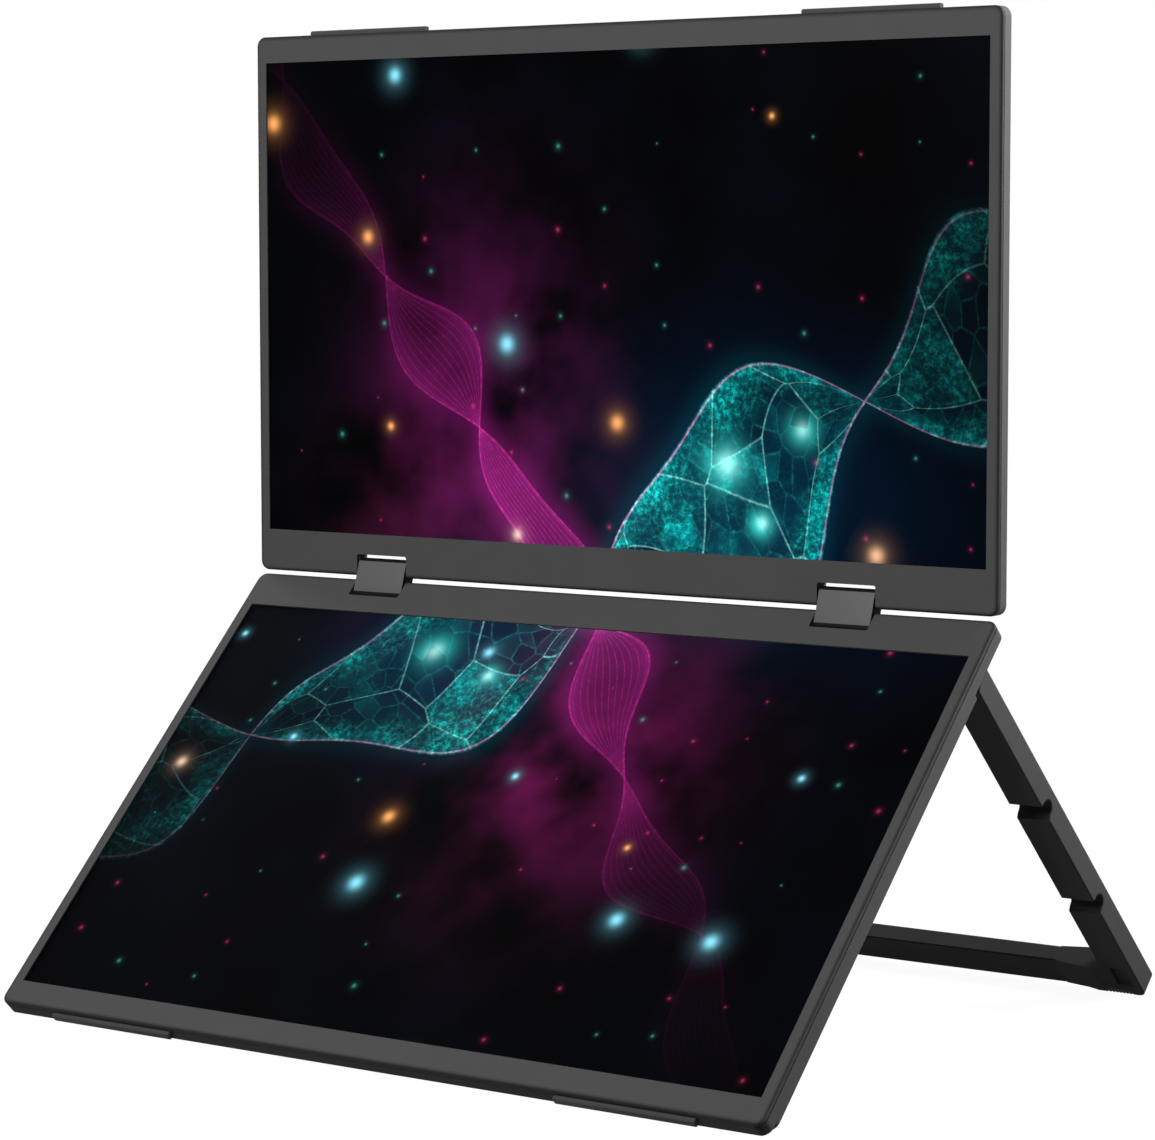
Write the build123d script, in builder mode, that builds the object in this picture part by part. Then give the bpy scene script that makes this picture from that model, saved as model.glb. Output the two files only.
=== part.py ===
from build123d import *
import os
from math import acos, atan2, cos, hypot, radians, sin, sqrt

# Dual portable monitor. Two flat displays are joined edge to edge by a pair of double hinges. The lower
# display leans back on a folding leg, and the upper one stands about upright. Millimetres, +Z up, -Y is the
# front, and the origin is at the middle of the footprint, on the table.

# Screen and bezel, seen from the front
screen_width = 344.2
screen_height = 193.6
side_bezel = 5.15
hinge_bezel = 17.2
free_bezel = 10.8
corner_radius = 4.0

# Layers of a display, front to back
bezel_lip = 0.7
bezel_edge = 1.3
bezel_round = 1.1
seam_width = 0.4
seam_inset = 0.7
display_depth = 6.7
side_wall = 1.6
back_skin = 1.0
back_round = 0.6
module_lap = 2.0
module_gap = 0.1
glass_depth = 0.8
backlight_depth = 1.6
rear_plate_depth = 0.3

# The lower display's back stands further out below the leg, over the electronics
bulge_depth = 2.3
bulge_start = 29.3
bulge_end_gap = 3.2
bulge_corner = 1.0

# Rubber strips let into each free edge
strip_length = 60.0
strip_inset = 57.55
strip_front = 1.9
strip_depth = 3.2
strip_proud = 1.8
strip_seat = 0.8
strip_round = 0.4

# Double hinge: one link on two pins, in a notch of each display
hinge_inset = 65.25
hinge_pitch = 9.96
hinge_edge = 3.5
hinge_depth = 3.3
link_width = 24.8
link_depth = 6.4
link_end = 3.5
link_round = 1.7
notch_gap = 0.5
notch_depth = 8.8
notch_corner = 0.8
pin_radius = 1.25
fixed_gap = 0.02
running_gap = 0.05
washer_radius = 2.6
washer_thickness = 0.4
lower_turn = 27.4
upper_turn = 17.6

# Hinge bracket: two ears beside the notch, on a plate behind it
ear_width = 6.0
ear_length = 4.6
bracket_plate = 1.0
bracket_gap = 0.05
bracket_length = 12.8
bracket_screw_side = 3.0
bracket_screw_row = 12.2
pin_recess = 0.5

# Cover screws
screw_radius = 0.75
screw_head_radius = 1.6
screw_head_depth = 0.7
screw_hole_gap = 0.1
screw_boss_radius = 1.8
free_screw_sides = (117.25, 9.25)
free_screw_gap = 0.1
screw_reach = 3.0

# Driver board in each display, along the hinge edge, between the hinge brackets
driver_end_gap = 1.45
driver_width = 9.0
driver_thickness = 0.8
driver_start = 3.6
driver_front = 4.4
driver_post_inset = 20.0
driver_post_radius = 2.0

# Posts that hold the panel module forward, in rows at shares of the display's height
post_radius = 5.0
post_board_gap = 5.0
post_shares = (0.23, 0.56, 0.86)

# Main board on the lower display's left side, and its chips, placed from the board's inner corner
board_width = 99.75
board_outer_inset = 7.5
board_end_inset = 37.6
board_length = 124.0
board_thickness = 0.8
board_post_radius = 2.2
board_post_inset = 6.0
board_screw_head = 1.8
board_screw_head_depth = 0.8
board_screw_radius = 0.9
chip_height = 1.0
chip_sizes = ((14.0, 14.0), (10.0, 10.0), (8.0, 6.0), (8.0, 6.0), (6.0, 6.0))
chip_places = ((40.0, 40.0), (66.0, 36.0), (28.0, 78.0), (50.0, 80.0), (74.0, 72.0))

# Ports and light down the left side, placed along the board
port_recess = 0.2
port_wall = 0.3
port_hole_gap = 0.15
port_floor = 1.1
usb_places = (26.0, 41.0)
usb_width = 8.94
usb_height = 3.2
usb_round = 1.2
usb_tongue = (6.6, 0.7)
hdmi_place = 10.0
hdmi_width = 11.0
hdmi_height = 3.0
hdmi_round = 0.8
hdmi_tongue = (8.0, 0.6)
tongue_setback = 1.0
jack_place = 58.0
jack_radius = 1.8
jack_nose_radius = 2.5
jack_width = 6.0
jack_height = 4.4
jack_length = 12.0
jack_bore_length = 12.6
board_slot_gap = 0.1
light_place = 78.0
light_radius = 0.9

# Push buttons, placed along the board
button_places = (90.0, 103.0, 116.0)
button_names = ("power_button", "menu_button", "back_button")
button_length = 7.6
button_height = 2.4
button_round = 1.1
button_hole_gap = 0.15
button_flange = 0.9
button_flange_depth = 0.7
button_play = 0.1
button_stem_radius = 1.0
button_travel = 0.4
button_over_travel = 0.1
button_stem_length = 2.3
switch_length = 4.5
switch_height = 3.4

# Speakers in the lower display
speaker_inset = 57.25
speaker_end_inset = 17.6
speaker_length = 34.0
speaker_width = 14.0
speaker_height = 4.2
speaker_corner = 1.8
grille_slot = (1.2, 8.0)
grille_pitch = 3.2
grille_count = 8
grille_round = 0.5

# Ribbon from the main board to the driver board
ribbon_width = 8.0
ribbon_thickness = 0.3
ribbon_inset = 5.5
ribbon_board_lap = 6.0
ribbon_bend = 5.0
ribbon_plate_gap = 0.1

# Leg: two notched arms and a cross bar, square to the lower display's back when it is open
leg_row = 23.3
leg_inner = 4.0
leg_outer = 5.8
leg_root_gap = 0.2
leg_axis_depth = 13.3
leg_reach = 198.1
arm_width = 14.05
arm_round = 0.6
foot_corner = 3.0
foot_flat = 19.5
foot_slope = 5.3
foot_reach = 35.25
bar_depth = 15.1
bar_end_inset = 1.0
bar_recess = 1.35
bar_round = 0.6
bush_radius = 2.4
bush_length = 10.0
leg_pin_radius = 1.5
notch_place = 66.5
notch_pitch = 59.15
notch_count = 2
arm_notch_radius = 3.5
arm_notch_depth = 5.55
arm_notch_near = 0.4
arm_notch_far = 1.0
foot_pocket_width = 6.7
foot_pocket_length = 12.2
foot_pocket_depth = 1.5
foot_pocket_inset = 3.55
foot_pocket_end = 5.6
pad_length = 12.0
pad_size = 3.2
tenon_length = 6.0
tenon_width = 8.0
tenon_height = 4.0
leg_screw_radius = 1.2
leg_screw_head = 2.2
leg_screw_head_depth = 1.2
leg_screw_length = 5.4

# Blocks on the lower display's back that carry the leg
block_radius = 4.0
block_width = 13.0
block_gap = 0.3
block_screw_spread = 3.5
block_screw_radius = 1.0
block_screw_head = 1.9
block_screw_head_depth = 0.9
block_screw_length = 4.8

# Sizes that follow
display_width = screen_width + 2 * side_bezel
display_height = hinge_bezel + screen_height + free_bezel
rim_depth = bezel_edge + seam_width
skin_inner = display_depth - back_skin
bulge_back = display_depth + bulge_depth
bulge_inner = bulge_back - back_skin
bulge_end = display_height - bulge_end_gap
free_screw_inset = bulge_end_gap + side_wall + free_screw_gap + screw_boss_radius
glass_front = bezel_lip
backlight_front = glass_front + glass_depth
rear_plate_front = backlight_front + backlight_depth
module_back = rear_plate_front + rear_plate_depth
module_width = screen_width + 2 * module_lap
module_height = screen_height + 2 * module_lap
screen_middle = hinge_bezel + screen_height / 2
side_face = display_width / 2
wall_inner = side_face - side_wall
hinge_offset = side_face - hinge_inset
notch_width = link_width + 2 * notch_gap
notch_wall = notch_width / 2 + side_wall
strip_offset = side_face - strip_inset
strip_back = strip_front + strip_depth
driver_half = hinge_offset - notch_wall - bracket_gap - ear_width - driver_end_gap
ribbon_offset = driver_half - ribbon_inset
port_middle = (module_back + bulge_inner) / 2
board_front = port_middle - board_thickness / 2
board_back = port_middle + board_thickness / 2
board_outer = side_face - board_outer_inset
board_inner = board_outer - board_width
board_start = display_height - board_end_inset - board_length
port_length = board_outer_inset - port_recess
board_middle = ((board_inner + board_outer) / 2, board_start + board_length / 2)
post_spread = board_width - 2 * board_post_inset
post_length = board_length - 2 * board_post_inset
post_offset = board_inner - post_board_gap - post_radius
usb_rows = [board_start + place for place in usb_places]
hdmi_row = board_start + hdmi_place
jack_row = board_start + jack_place
light_row = board_start + light_place
button_rows = [board_start + place for place in button_places]
speaker_offset = side_face - speaker_inset
speaker_row = display_height - speaker_end_inset
arm_inner = side_face - arm_width
arm_thickness = leg_inner + leg_outer
arm_middle = (leg_outer - leg_inner) / 2
foot_inner = side_face - foot_reach
flat_inner = side_face - foot_flat
pad_middle = (flat_inner + side_face - foot_corner) / 2
root_radius = leg_axis_depth - display_depth - leg_root_gap
arm_length = leg_reach - leg_axis_depth
bar_end = arm_length - bar_end_inset
bar_middle = bar_end - bar_depth / 2
bar_back = leg_outer - bar_recess
leg_screw_x = foot_inner + tenon_length / 2
block_middle = arm_inner - block_gap - block_width / 2


def tilt_on_table():
    """Angle from the table to the lower display, resting on its rubber strips and on the leg's feet."""
    strip_row = display_height + strip_proud - strip_round
    strip_level = strip_back - strip_round
    foot_row = leg_row + leg_inner - arm_round
    foot_level = leg_reach - arm_round
    apart = hypot(foot_level - strip_level, strip_row - foot_row)
    slope = atan2(strip_row - foot_row, foot_level - strip_level)
    return acos((strip_round - arm_round) / apart) - slope


lower_tilt = tilt_on_table()
lower_rise = (display_height + strip_proud - strip_round) * sin(lower_tilt)
hinge_height = lower_rise + (strip_back - strip_round) * cos(lower_tilt) + strip_round


def half_footprint_shift():
    """How far behind the footprint's middle the lower display's hinge edge stands."""
    strip_y = (strip_front + strip_round) * sin(lower_tilt) - strip_round
    front = strip_y - (display_height + strip_proud - strip_round) * cos(lower_tilt)
    foot_y = (leg_reach - arm_round) * sin(lower_tilt) + arm_round
    back = foot_y - (leg_row - leg_outer + arm_round) * cos(lower_tilt)
    return -(front + back) / 2


def direction(angle):
    """Unit vector square to X, at an angle above the table, pointing backwards and up."""
    return Vector(0, cos(angle), sin(angle))


# Planes on the two front faces: origin at the middle of the hinge edge, Y towards the free edge, Z forwards
hinge_edge_middle = Vector(0, half_footprint_shift(), hinge_height)
lower_up = direction(lower_tilt)
lower_front = Vector(0, -sin(lower_tilt), cos(lower_tilt))
lower_face = Plane(origin=hinge_edge_middle, x_dir=(-1, 0, 0), z_dir=lower_front)
lower_axis = hinge_edge_middle - lower_up * hinge_edge - lower_front * hinge_depth
link_angle = lower_tilt + radians(lower_turn)
upper_axis = lower_axis + direction(link_angle) * hinge_pitch
upper_angle = link_angle + radians(upper_turn)
upper_up = direction(upper_angle)
upper_front = Vector(0, -sin(upper_angle), cos(upper_angle))
upper_origin = upper_axis - upper_up * hinge_edge + upper_front * hinge_depth
upper_face = Plane(origin=upper_origin, x_dir=(1, 0, 0), z_dir=upper_front)
displays = {"lower": lower_face, "upper": upper_face}
sides = {"left": -1, "right": 1}

# Planes across the width, for shapes that run along X
link_side = Plane(origin=lower_axis, x_dir=direction(link_angle), z_dir=(1, 0, 0))
leg_axis = hinge_edge_middle - lower_up * leg_row - lower_front * leg_axis_depth
leg_side = Plane(origin=leg_axis, x_dir=lower_front * -1, z_dir=(1, 0, 0))
leg_plan = Plane(origin=leg_axis, x_dir=(1, 0, 0), z_dir=lower_up)

os.makedirs("parts", exist_ok=True)


def save(builder, name):
    """Label a finished piece and write it."""
    builder.part.label = name
    export_step(builder.part, f"parts/{name}.step")


def local_x(which, side):
    """Sign of a display's own X on the real left or right side."""
    return sides[side] * (1 if which == "upper" else -1)


def section_plane(face, x):
    """Plane across a display at a distance along its own X: its X runs to the free edge, its Y forwards."""
    place = face.from_local_coords((x, 0, 0))
    return Plane(origin=place, x_dir=face.y_dir, z_dir=face.x_dir)


def outline(inset):
    """Front outline of a display, drawn in by an inset."""
    with Locations((0, display_height / 2)):
        RectangleRounded(display_width - 2 * inset, display_height - 2 * inset, corner_radius - inset)


def hinge_notches(grow, mode=Mode.ADD):
    """The two notches for the hinge links, grown by a margin."""
    with Locations((-hinge_offset, 0), (hinge_offset, 0)):
        RectangleRounded(notch_width + 2 * grow, 2 * (notch_depth + grow), notch_corner + grow, mode=mode)


def module_outline(gap):
    """Outline of the panel module behind the bezel."""
    with Locations((0, screen_middle)):
        Rectangle(module_width + 2 * gap, module_height + 2 * gap)


def bracket_screw_places():
    """Cover screws that also hold the hinge brackets."""
    reach = notch_wall + bracket_screw_side
    return [(s * (hinge_offset + t * reach), bracket_screw_row) for s in (-1, 1) for t in (-1, 1)]


def free_screw_places():
    """Cover screws along the free edge."""
    row = display_height - free_screw_inset
    return [(s * (side_face - x), row) for s in (-1, 1) for x in free_screw_sides]


def cover_back(which, row):
    """Depth of a display's back at a distance from the hinge edge."""
    return bulge_back if which == "lower" and bulge_start < row < bulge_end else display_depth


# Displays
def make_front_bezel(which, face):
    """Frame around the screen, with screw bosses and a step behind its edge that shows as the dark seam."""
    with BuildPart() as bezel:
        with BuildSketch(face):
            outline(0)
        extrude(amount=-bezel_edge)
        front_face = bezel.faces().sort_by(Axis(face.origin, face.z_dir))[-1]
        fillet(front_face.edges(), bezel_round)
        with BuildSketch(face.offset(-bezel_edge)):
            outline(seam_inset)
        extrude(amount=-seam_width)
        with BuildSketch(face):
            with Locations((0, screen_middle)):
                Rectangle(screen_width, screen_height)
        extrude(amount=-rim_depth, mode=Mode.SUBTRACT)
        with BuildSketch(face.offset(-glass_front)):
            module_outline(module_gap)
        extrude(amount=-(rim_depth - glass_front), mode=Mode.SUBTRACT)
        with BuildSketch(face.offset(-rim_depth)):
            with Locations(bracket_screw_places()):
                Circle(screw_boss_radius)
        extrude(amount=-(skin_inner - bracket_gap - bracket_plate - rim_depth))
        with BuildSketch(face.offset(-rim_depth)):
            with Locations(free_screw_places()):
                Circle(screw_boss_radius)
        free_screw_back = cover_back(which, display_height - free_screw_inset)
        extrude(amount=-(free_screw_back - back_skin - rim_depth))
        with BuildSketch(face.offset(-rim_depth)):
            with Locations(bracket_screw_places() + free_screw_places()):
                Circle(screw_radius + fixed_gap)
        extrude(amount=-bulge_back, mode=Mode.SUBTRACT)
        with BuildSketch(face):
            hinge_notches(0)
        extrude(amount=-bezel_edge, mode=Mode.SUBTRACT)
        with BuildSketch(face.offset(-bezel_edge)):
            hinge_notches(seam_inset)
        extrude(amount=-seam_width, mode=Mode.SUBTRACT)
    save(bezel, f"{which}_front_bezel")


def cut_through(opening, depth):
    """Cut a drawn opening out of the piece that is being made."""
    extrude(opening.sketch, amount=depth, mode=Mode.SUBTRACT)


def screw_seat(which, face, places):
    """Clearance holes and countersinks for cover screws, cut from the back."""
    for x, row in places:
        back = cover_back(which, row)
        with BuildSketch(face.offset(-back)) as seat:
            with Locations((x, row)):
                Circle(screw_head_radius + screw_hole_gap)
        cut_through(seat, screw_head_depth)
        with BuildSketch(face.offset(-back)) as hole:
            with Locations((x, row)):
                Circle(screw_radius + screw_hole_gap)
        cut_through(hole, back_skin)


def side_cut(face, row, width, height, rounding):
    """Slot through the left side wall for a port or a button, with its middle at port depth."""
    with BuildSketch(section_plane(face, side_face)) as slot:
        with Locations((row, -port_middle)):
            RectangleRounded(width, height, rounding)
    cut_through(slot, -side_wall)


def side_hole(face, row, radius):
    """Round hole through the left side wall."""
    with BuildSketch(section_plane(face, side_face)) as hole:
        with Locations((row, -port_middle)):
            Circle(radius)
    cut_through(hole, -side_wall)


def lower_details(face):
    """What only the lower cover has: board posts, leg screw holes, openings in the side, speaker slots."""
    with BuildSketch(face.offset(-board_back)) as posts:
        with Locations(board_middle):
            with GridLocations(post_spread, post_length, 2, 2):
                Circle(board_post_radius)
                Circle(board_screw_radius + fixed_gap, mode=Mode.SUBTRACT)
    extrude(posts.sketch, amount=-(bulge_inner - board_back))
    with BuildSketch(face.offset(-skin_inner)) as leg_holes:
        with Locations((-block_middle, leg_row), (block_middle, leg_row)):
            with GridLocations(2 * block_screw_spread, 0, 2, 1):
                Circle(block_screw_radius + screw_hole_gap)
    cut_through(leg_holes, -back_skin)
    for row in usb_rows:
        width, height = usb_width + 2 * port_hole_gap, usb_height + 2 * port_hole_gap
        side_cut(face, row, width, height, usb_round + port_hole_gap)
    width, height = hdmi_width + 2 * port_hole_gap, hdmi_height + 2 * port_hole_gap
    side_cut(face, hdmi_row, width, height, hdmi_round + port_hole_gap)
    side_hole(face, jack_row, jack_nose_radius + fixed_gap)
    side_hole(face, light_row, light_radius + fixed_gap)
    for row in button_rows:
        width, height = button_length + 2 * button_hole_gap, button_height + 2 * button_hole_gap
        side_cut(face, row, width, height, button_round + button_hole_gap)
    with BuildSketch(face.offset(-bulge_inner)) as grille:
        with Locations((-speaker_offset, speaker_row), (speaker_offset, speaker_row)):
            with GridLocations(grille_pitch, 0, grille_count, 1):
                RectangleRounded(grille_slot[0], grille_slot[1], grille_round)
    cut_through(grille, -back_skin)


def make_back_cover(which, face):
    """Tray behind a display. The lower one has a deeper part over the electronics."""
    with BuildPart() as cover:
        with BuildSketch(face.offset(-rim_depth)):
            outline(0)
        extrude(amount=-(display_depth - rim_depth))
        if which == "lower":
            with BuildSketch(face.offset(-display_depth)) as bulge:
                with Locations((0, (bulge_start + bulge_end) / 2)):
                    Rectangle(display_width, bulge_end - bulge_start)
                fillet(bulge.vertices().group_by(Axis.Y)[-1], corner_radius)
                fillet(bulge.vertices().group_by(Axis.Y)[0], bulge_corner)
            extrude(amount=-bulge_depth)
        back_face = cover.faces().sort_by(Axis(face.origin, face.z_dir))[0]
        fillet(back_face.edges(), back_round)
        with BuildSketch(face.offset(-rim_depth)):
            outline(side_wall)
            hinge_notches(side_wall, Mode.SUBTRACT)
        extrude(amount=-(skin_inner - rim_depth), mode=Mode.SUBTRACT)
        if which == "lower":
            with BuildSketch(face.offset(-skin_inner)):
                with Locations((0, (bulge_start + bulge_end) / 2)):
                    RectangleRounded(
                        display_width - 2 * side_wall,
                        bulge_end - bulge_start - 2 * side_wall,
                        corner_radius - side_wall,
                    )
            extrude(amount=-(bulge_inner - skin_inner), mode=Mode.SUBTRACT)
        with BuildSketch(face.offset(-rim_depth)):
            hinge_notches(0)
        extrude(amount=-(display_depth - rim_depth), mode=Mode.SUBTRACT)
        for x in (-hinge_offset, hinge_offset):
            with BuildSketch(section_plane(face, x)):
                with Locations((hinge_edge, -hinge_depth)):
                    Circle(pin_radius + fixed_gap)
            extrude(amount=notch_wall, both=True, mode=Mode.SUBTRACT)
        with BuildSketch(face.offset(-module_back)):
            rows = [share * display_height for share in post_shares]
            with Locations([(s * post_offset, row) for s in (-1, 1) for row in rows]):
                Circle(post_radius)
        floor = bulge_inner if which == "lower" else skin_inner
        extrude(amount=-(floor - module_back))
        with BuildSketch(face.offset(-(driver_front + driver_thickness))):
            driver_middle = driver_start + driver_width / 2
            post_x = driver_half - driver_post_inset
            with Locations((-post_x, driver_middle), (post_x, driver_middle)):
                Circle(driver_post_radius)
        extrude(amount=-(skin_inner - driver_front - driver_thickness))
        screw_seat(which, face, bracket_screw_places() + free_screw_places())
        for x in (-strip_offset, strip_offset):
            with BuildSketch(section_plane(face, x)):
                with Locations((display_height - strip_seat / 2, -(strip_front + strip_back) / 2)):
                    Rectangle(strip_seat, strip_depth)
            extrude(amount=strip_length / 2, both=True, mode=Mode.SUBTRACT)
        if which == "lower":
            lower_details(face)
    save(cover, f"{which}_back_cover")


def make_panel_layers(which, face):
    """Glass, backlight and stamped rear plate of the panel module."""
    layers = (
        ("screen", glass_front, glass_depth),
        ("backlight", backlight_front, backlight_depth),
        ("rear_plate", rear_plate_front, rear_plate_depth),
    )
    for name, front, depth in layers:
        with BuildPart() as layer:
            with BuildSketch(face.offset(-front)):
                module_outline(0)
            extrude(amount=-depth)
        save(layer, f"{which}_{name}")


def make_driver_board(which, face):
    """Narrow board beside the panel module, behind the hinge bezel."""
    with BuildPart() as board:
        with BuildSketch(face.offset(-driver_front)):
            with Locations((0, driver_start + driver_width / 2)):
                Rectangle(2 * driver_half, driver_width)
        extrude(amount=-driver_thickness)
    save(board, f"{which}_driver_board")


def make_cover_screws(which, face):
    """Countersunk screws from the back, into the bezel's bosses."""
    with BuildPart() as screws:
        for x, row in bracket_screw_places() + free_screw_places():
            back = cover_back(which, row)
            with BuildSketch(face.offset(-back)):
                with Locations((x, row)):
                    Circle(screw_head_radius)
            extrude(amount=screw_head_depth)
            with BuildSketch(face.offset(-(back - screw_head_depth))):
                with Locations((x, row)):
                    Circle(screw_radius)
            extrude(amount=back_skin - screw_head_depth + screw_reach)
    save(screws, f"{which}_cover_screws")


def make_edge_strips(which, face):
    """Rubber strips that stand proud of the free edge."""
    for side in sides:
        with BuildPart() as strip:
            with BuildSketch(section_plane(face, local_x(which, side) * strip_offset)) as profile:
                height = strip_seat + strip_proud
                with Locations(
                    (display_height - strip_seat + height / 2, -(strip_front + strip_back) / 2)
                ):
                    Rectangle(height, strip_depth)
                fillet(profile.vertices().group_by(Axis.X)[-1], strip_round)
            extrude(amount=strip_length / 2, both=True)
        save(strip, f"{which}_edge_strip_{side}")


def make_hinge_bracket(which, face, side):
    """Steel bracket around a hinge notch: two ears with the pin's holes, joined by a plate."""
    middle = local_x(which, side) * hinge_offset
    half_width = notch_wall + bracket_gap + ear_width
    start = side_wall + bracket_gap
    plate_front = skin_inner - bracket_gap - bracket_plate
    with BuildPart() as bracket:
        with BuildSketch(face.offset(-plate_front)):
            with Locations((middle, start + bracket_length / 2)):
                Rectangle(2 * half_width, bracket_length)
            with Locations((middle, 0)):
                inner_half = notch_wall + bracket_gap
                inner_row = notch_depth + side_wall + bracket_gap
                Rectangle(2 * inner_half, 2 * inner_row, mode=Mode.SUBTRACT)
        extrude(amount=-bracket_plate)
        with BuildSketch(face.offset(-(rim_depth + bracket_gap))):
            ear_middle = notch_wall + bracket_gap + ear_width / 2
            with Locations(
                (middle - ear_middle, start + ear_length / 2),
                (middle + ear_middle, start + ear_length / 2),
            ):
                Rectangle(ear_width, ear_length)
        extrude(amount=-(plate_front - rim_depth - bracket_gap))
        with BuildSketch(section_plane(face, middle)):
            with Locations((hinge_edge, -hinge_depth)):
                Circle(pin_radius + fixed_gap)
        extrude(amount=half_width, both=True, mode=Mode.SUBTRACT)
        reach = notch_wall + bracket_screw_side
        with BuildSketch(face.offset(-plate_front)):
            with Locations((middle - reach, bracket_screw_row), (middle + reach, bracket_screw_row)):
                Circle(screw_radius + screw_hole_gap)
        extrude(amount=-bracket_plate, mode=Mode.SUBTRACT)
    save(bracket, f"{which}_hinge_bracket_{side}")


def make_hinge_pin(which, face, side):
    """Pin through a link, held at both ends by the bracket's ears."""
    half_length = notch_wall + bracket_gap + ear_width - pin_recess
    with BuildPart() as pin:
        with BuildSketch(section_plane(face, local_x(which, side) * hinge_offset)):
            with Locations((hinge_edge, -hinge_depth)):
                Circle(pin_radius)
        extrude(amount=half_length, both=True)
    save(pin, f"{which}_hinge_pin_{side}")


# Hinge links
def make_hinge_link(side):
    """Block with rounded ends that turns on one pin in each display."""
    middle = Plane(
        origin=link_side.origin + Vector(sides[side] * hinge_offset, 0, 0),
        x_dir=link_side.x_dir,
        z_dir=link_side.z_dir,
    )
    with BuildPart() as link:
        with BuildSketch(middle):
            with Locations((hinge_pitch / 2, 0)):
                RectangleRounded(hinge_pitch + 2 * link_end, link_depth, link_round)
            with Locations((0, 0), (hinge_pitch, 0)):
                Circle(pin_radius + running_gap, mode=Mode.SUBTRACT)
        extrude(amount=link_width / 2, both=True)
    save(link, f"hinge_link_{side}")


def make_link_washers():
    """Thin washers on the pins, between each link and its notch."""
    gap = (notch_gap - washer_thickness) / 2
    with BuildPart() as washers:
        for sign in sides.values():
            for end in (-1, 1):
                inner = end * (link_width / 2 + gap + washer_thickness / 2)
                with BuildSketch(link_side.offset(sign * hinge_offset + inner)):
                    with Locations((0, 0), (hinge_pitch, 0)):
                        Circle(washer_radius)
                        Circle(pin_radius + running_gap, mode=Mode.SUBTRACT)
                extrude(amount=washer_thickness / 2, both=True)
    save(washers, "link_washers")


# Electronics in the lower display
def make_main_board(face):
    """Board beside the ports, with a slot for the audio jack."""
    with BuildPart() as board:
        with BuildSketch(face.offset(-board_front)):
            with Locations(board_middle):
                Rectangle(board_width, board_length)
                with GridLocations(post_spread, post_length, 2, 2):
                    Circle(board_screw_radius + screw_hole_gap, mode=Mode.SUBTRACT)
            jack_end = wall_inner - jack_length - board_slot_gap
            with Locations(((jack_end + board_outer) / 2, jack_row)):
                Rectangle(board_outer - jack_end, jack_width + 2 * board_slot_gap, mode=Mode.SUBTRACT)
        extrude(amount=-board_thickness)
    save(board, "main_board")
    with BuildPart() as chips:
        for (length, width), (x, row) in zip(chip_sizes, chip_places):
            with BuildSketch(face.offset(-board_front)):
                with Locations((board_inner + x, board_start + row)):
                    Rectangle(length, width)
            extrude(amount=chip_height)
    save(chips, "board_chips")
    with BuildPart() as screws:
        with BuildSketch(face.offset(-board_front)):
            with Locations(board_middle):
                with GridLocations(post_spread, post_length, 2, 2):
                    Circle(board_screw_head)
        extrude(amount=board_screw_head_depth)
        with BuildSketch(face.offset(-board_front)):
            with Locations(board_middle):
                with GridLocations(post_spread, post_length, 2, 2):
                    Circle(board_screw_radius)
        extrude(amount=-(board_thickness + (bulge_inner - board_back) / 2))
    save(screws, "board_screws")


def port_shell(wall, row, width, height, rounding):
    """Metal shell of a socket, open at the side face."""
    with BuildSketch(wall.offset(-port_recess)) as shell:
        with Locations((row, -port_middle)):
            RectangleRounded(width, height, rounding)
    extrude(shell.sketch, amount=-port_length)
    with BuildSketch(wall.offset(-port_recess)) as mouth:
        with Locations((row, -port_middle)):
            RectangleRounded(width - 2 * port_wall, height - 2 * port_wall, rounding - port_wall)
    cut_through(mouth, -(port_length - port_floor))


def port_tongue(wall, row, size):
    """Tongue that stands on a socket's floor."""
    with BuildSketch(wall.offset(-(port_recess + tongue_setback))) as blade:
        with Locations((row, -port_middle)):
            Rectangle(size[0], size[1])
    extrude(blade.sketch, amount=-(port_length - port_floor - tongue_setback))


def make_ports(face):
    """Sockets and the status light on the left side face."""
    wall = section_plane(face, side_face)
    with BuildPart() as usb:
        for row in usb_rows:
            port_shell(wall, row, usb_width, usb_height, usb_round)
    save(usb, "usb_c_ports")
    with BuildPart() as usb_tongues:
        for row in usb_rows:
            port_tongue(wall, row, usb_tongue)
    save(usb_tongues, "usb_c_tongues")
    with BuildPart() as hdmi:
        port_shell(wall, hdmi_row, hdmi_width, hdmi_height, hdmi_round)
    save(hdmi, "mini_hdmi_port")
    with BuildPart() as hdmi_blade:
        port_tongue(wall, hdmi_row, hdmi_tongue)
    save(hdmi_blade, "mini_hdmi_tongue")
    with BuildPart() as jack:
        with BuildSketch(wall):
            with Locations((jack_row, -port_middle)):
                Circle(jack_nose_radius)
        extrude(amount=-side_wall)
        with BuildSketch(wall.offset(-side_wall)):
            with Locations((jack_row, -port_middle)):
                Rectangle(jack_width, jack_height)
        extrude(amount=-jack_length)
        with BuildSketch(wall):
            with Locations((jack_row, -port_middle)):
                Circle(jack_radius)
        extrude(amount=-jack_bore_length, mode=Mode.SUBTRACT)
    save(jack, "audio_jack")
    with BuildPart() as light:
        with BuildSketch(wall):
            with Locations((light_row, -port_middle)):
                Circle(light_radius)
        extrude(amount=-board_outer_inset)
    save(light, "status_light")


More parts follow.
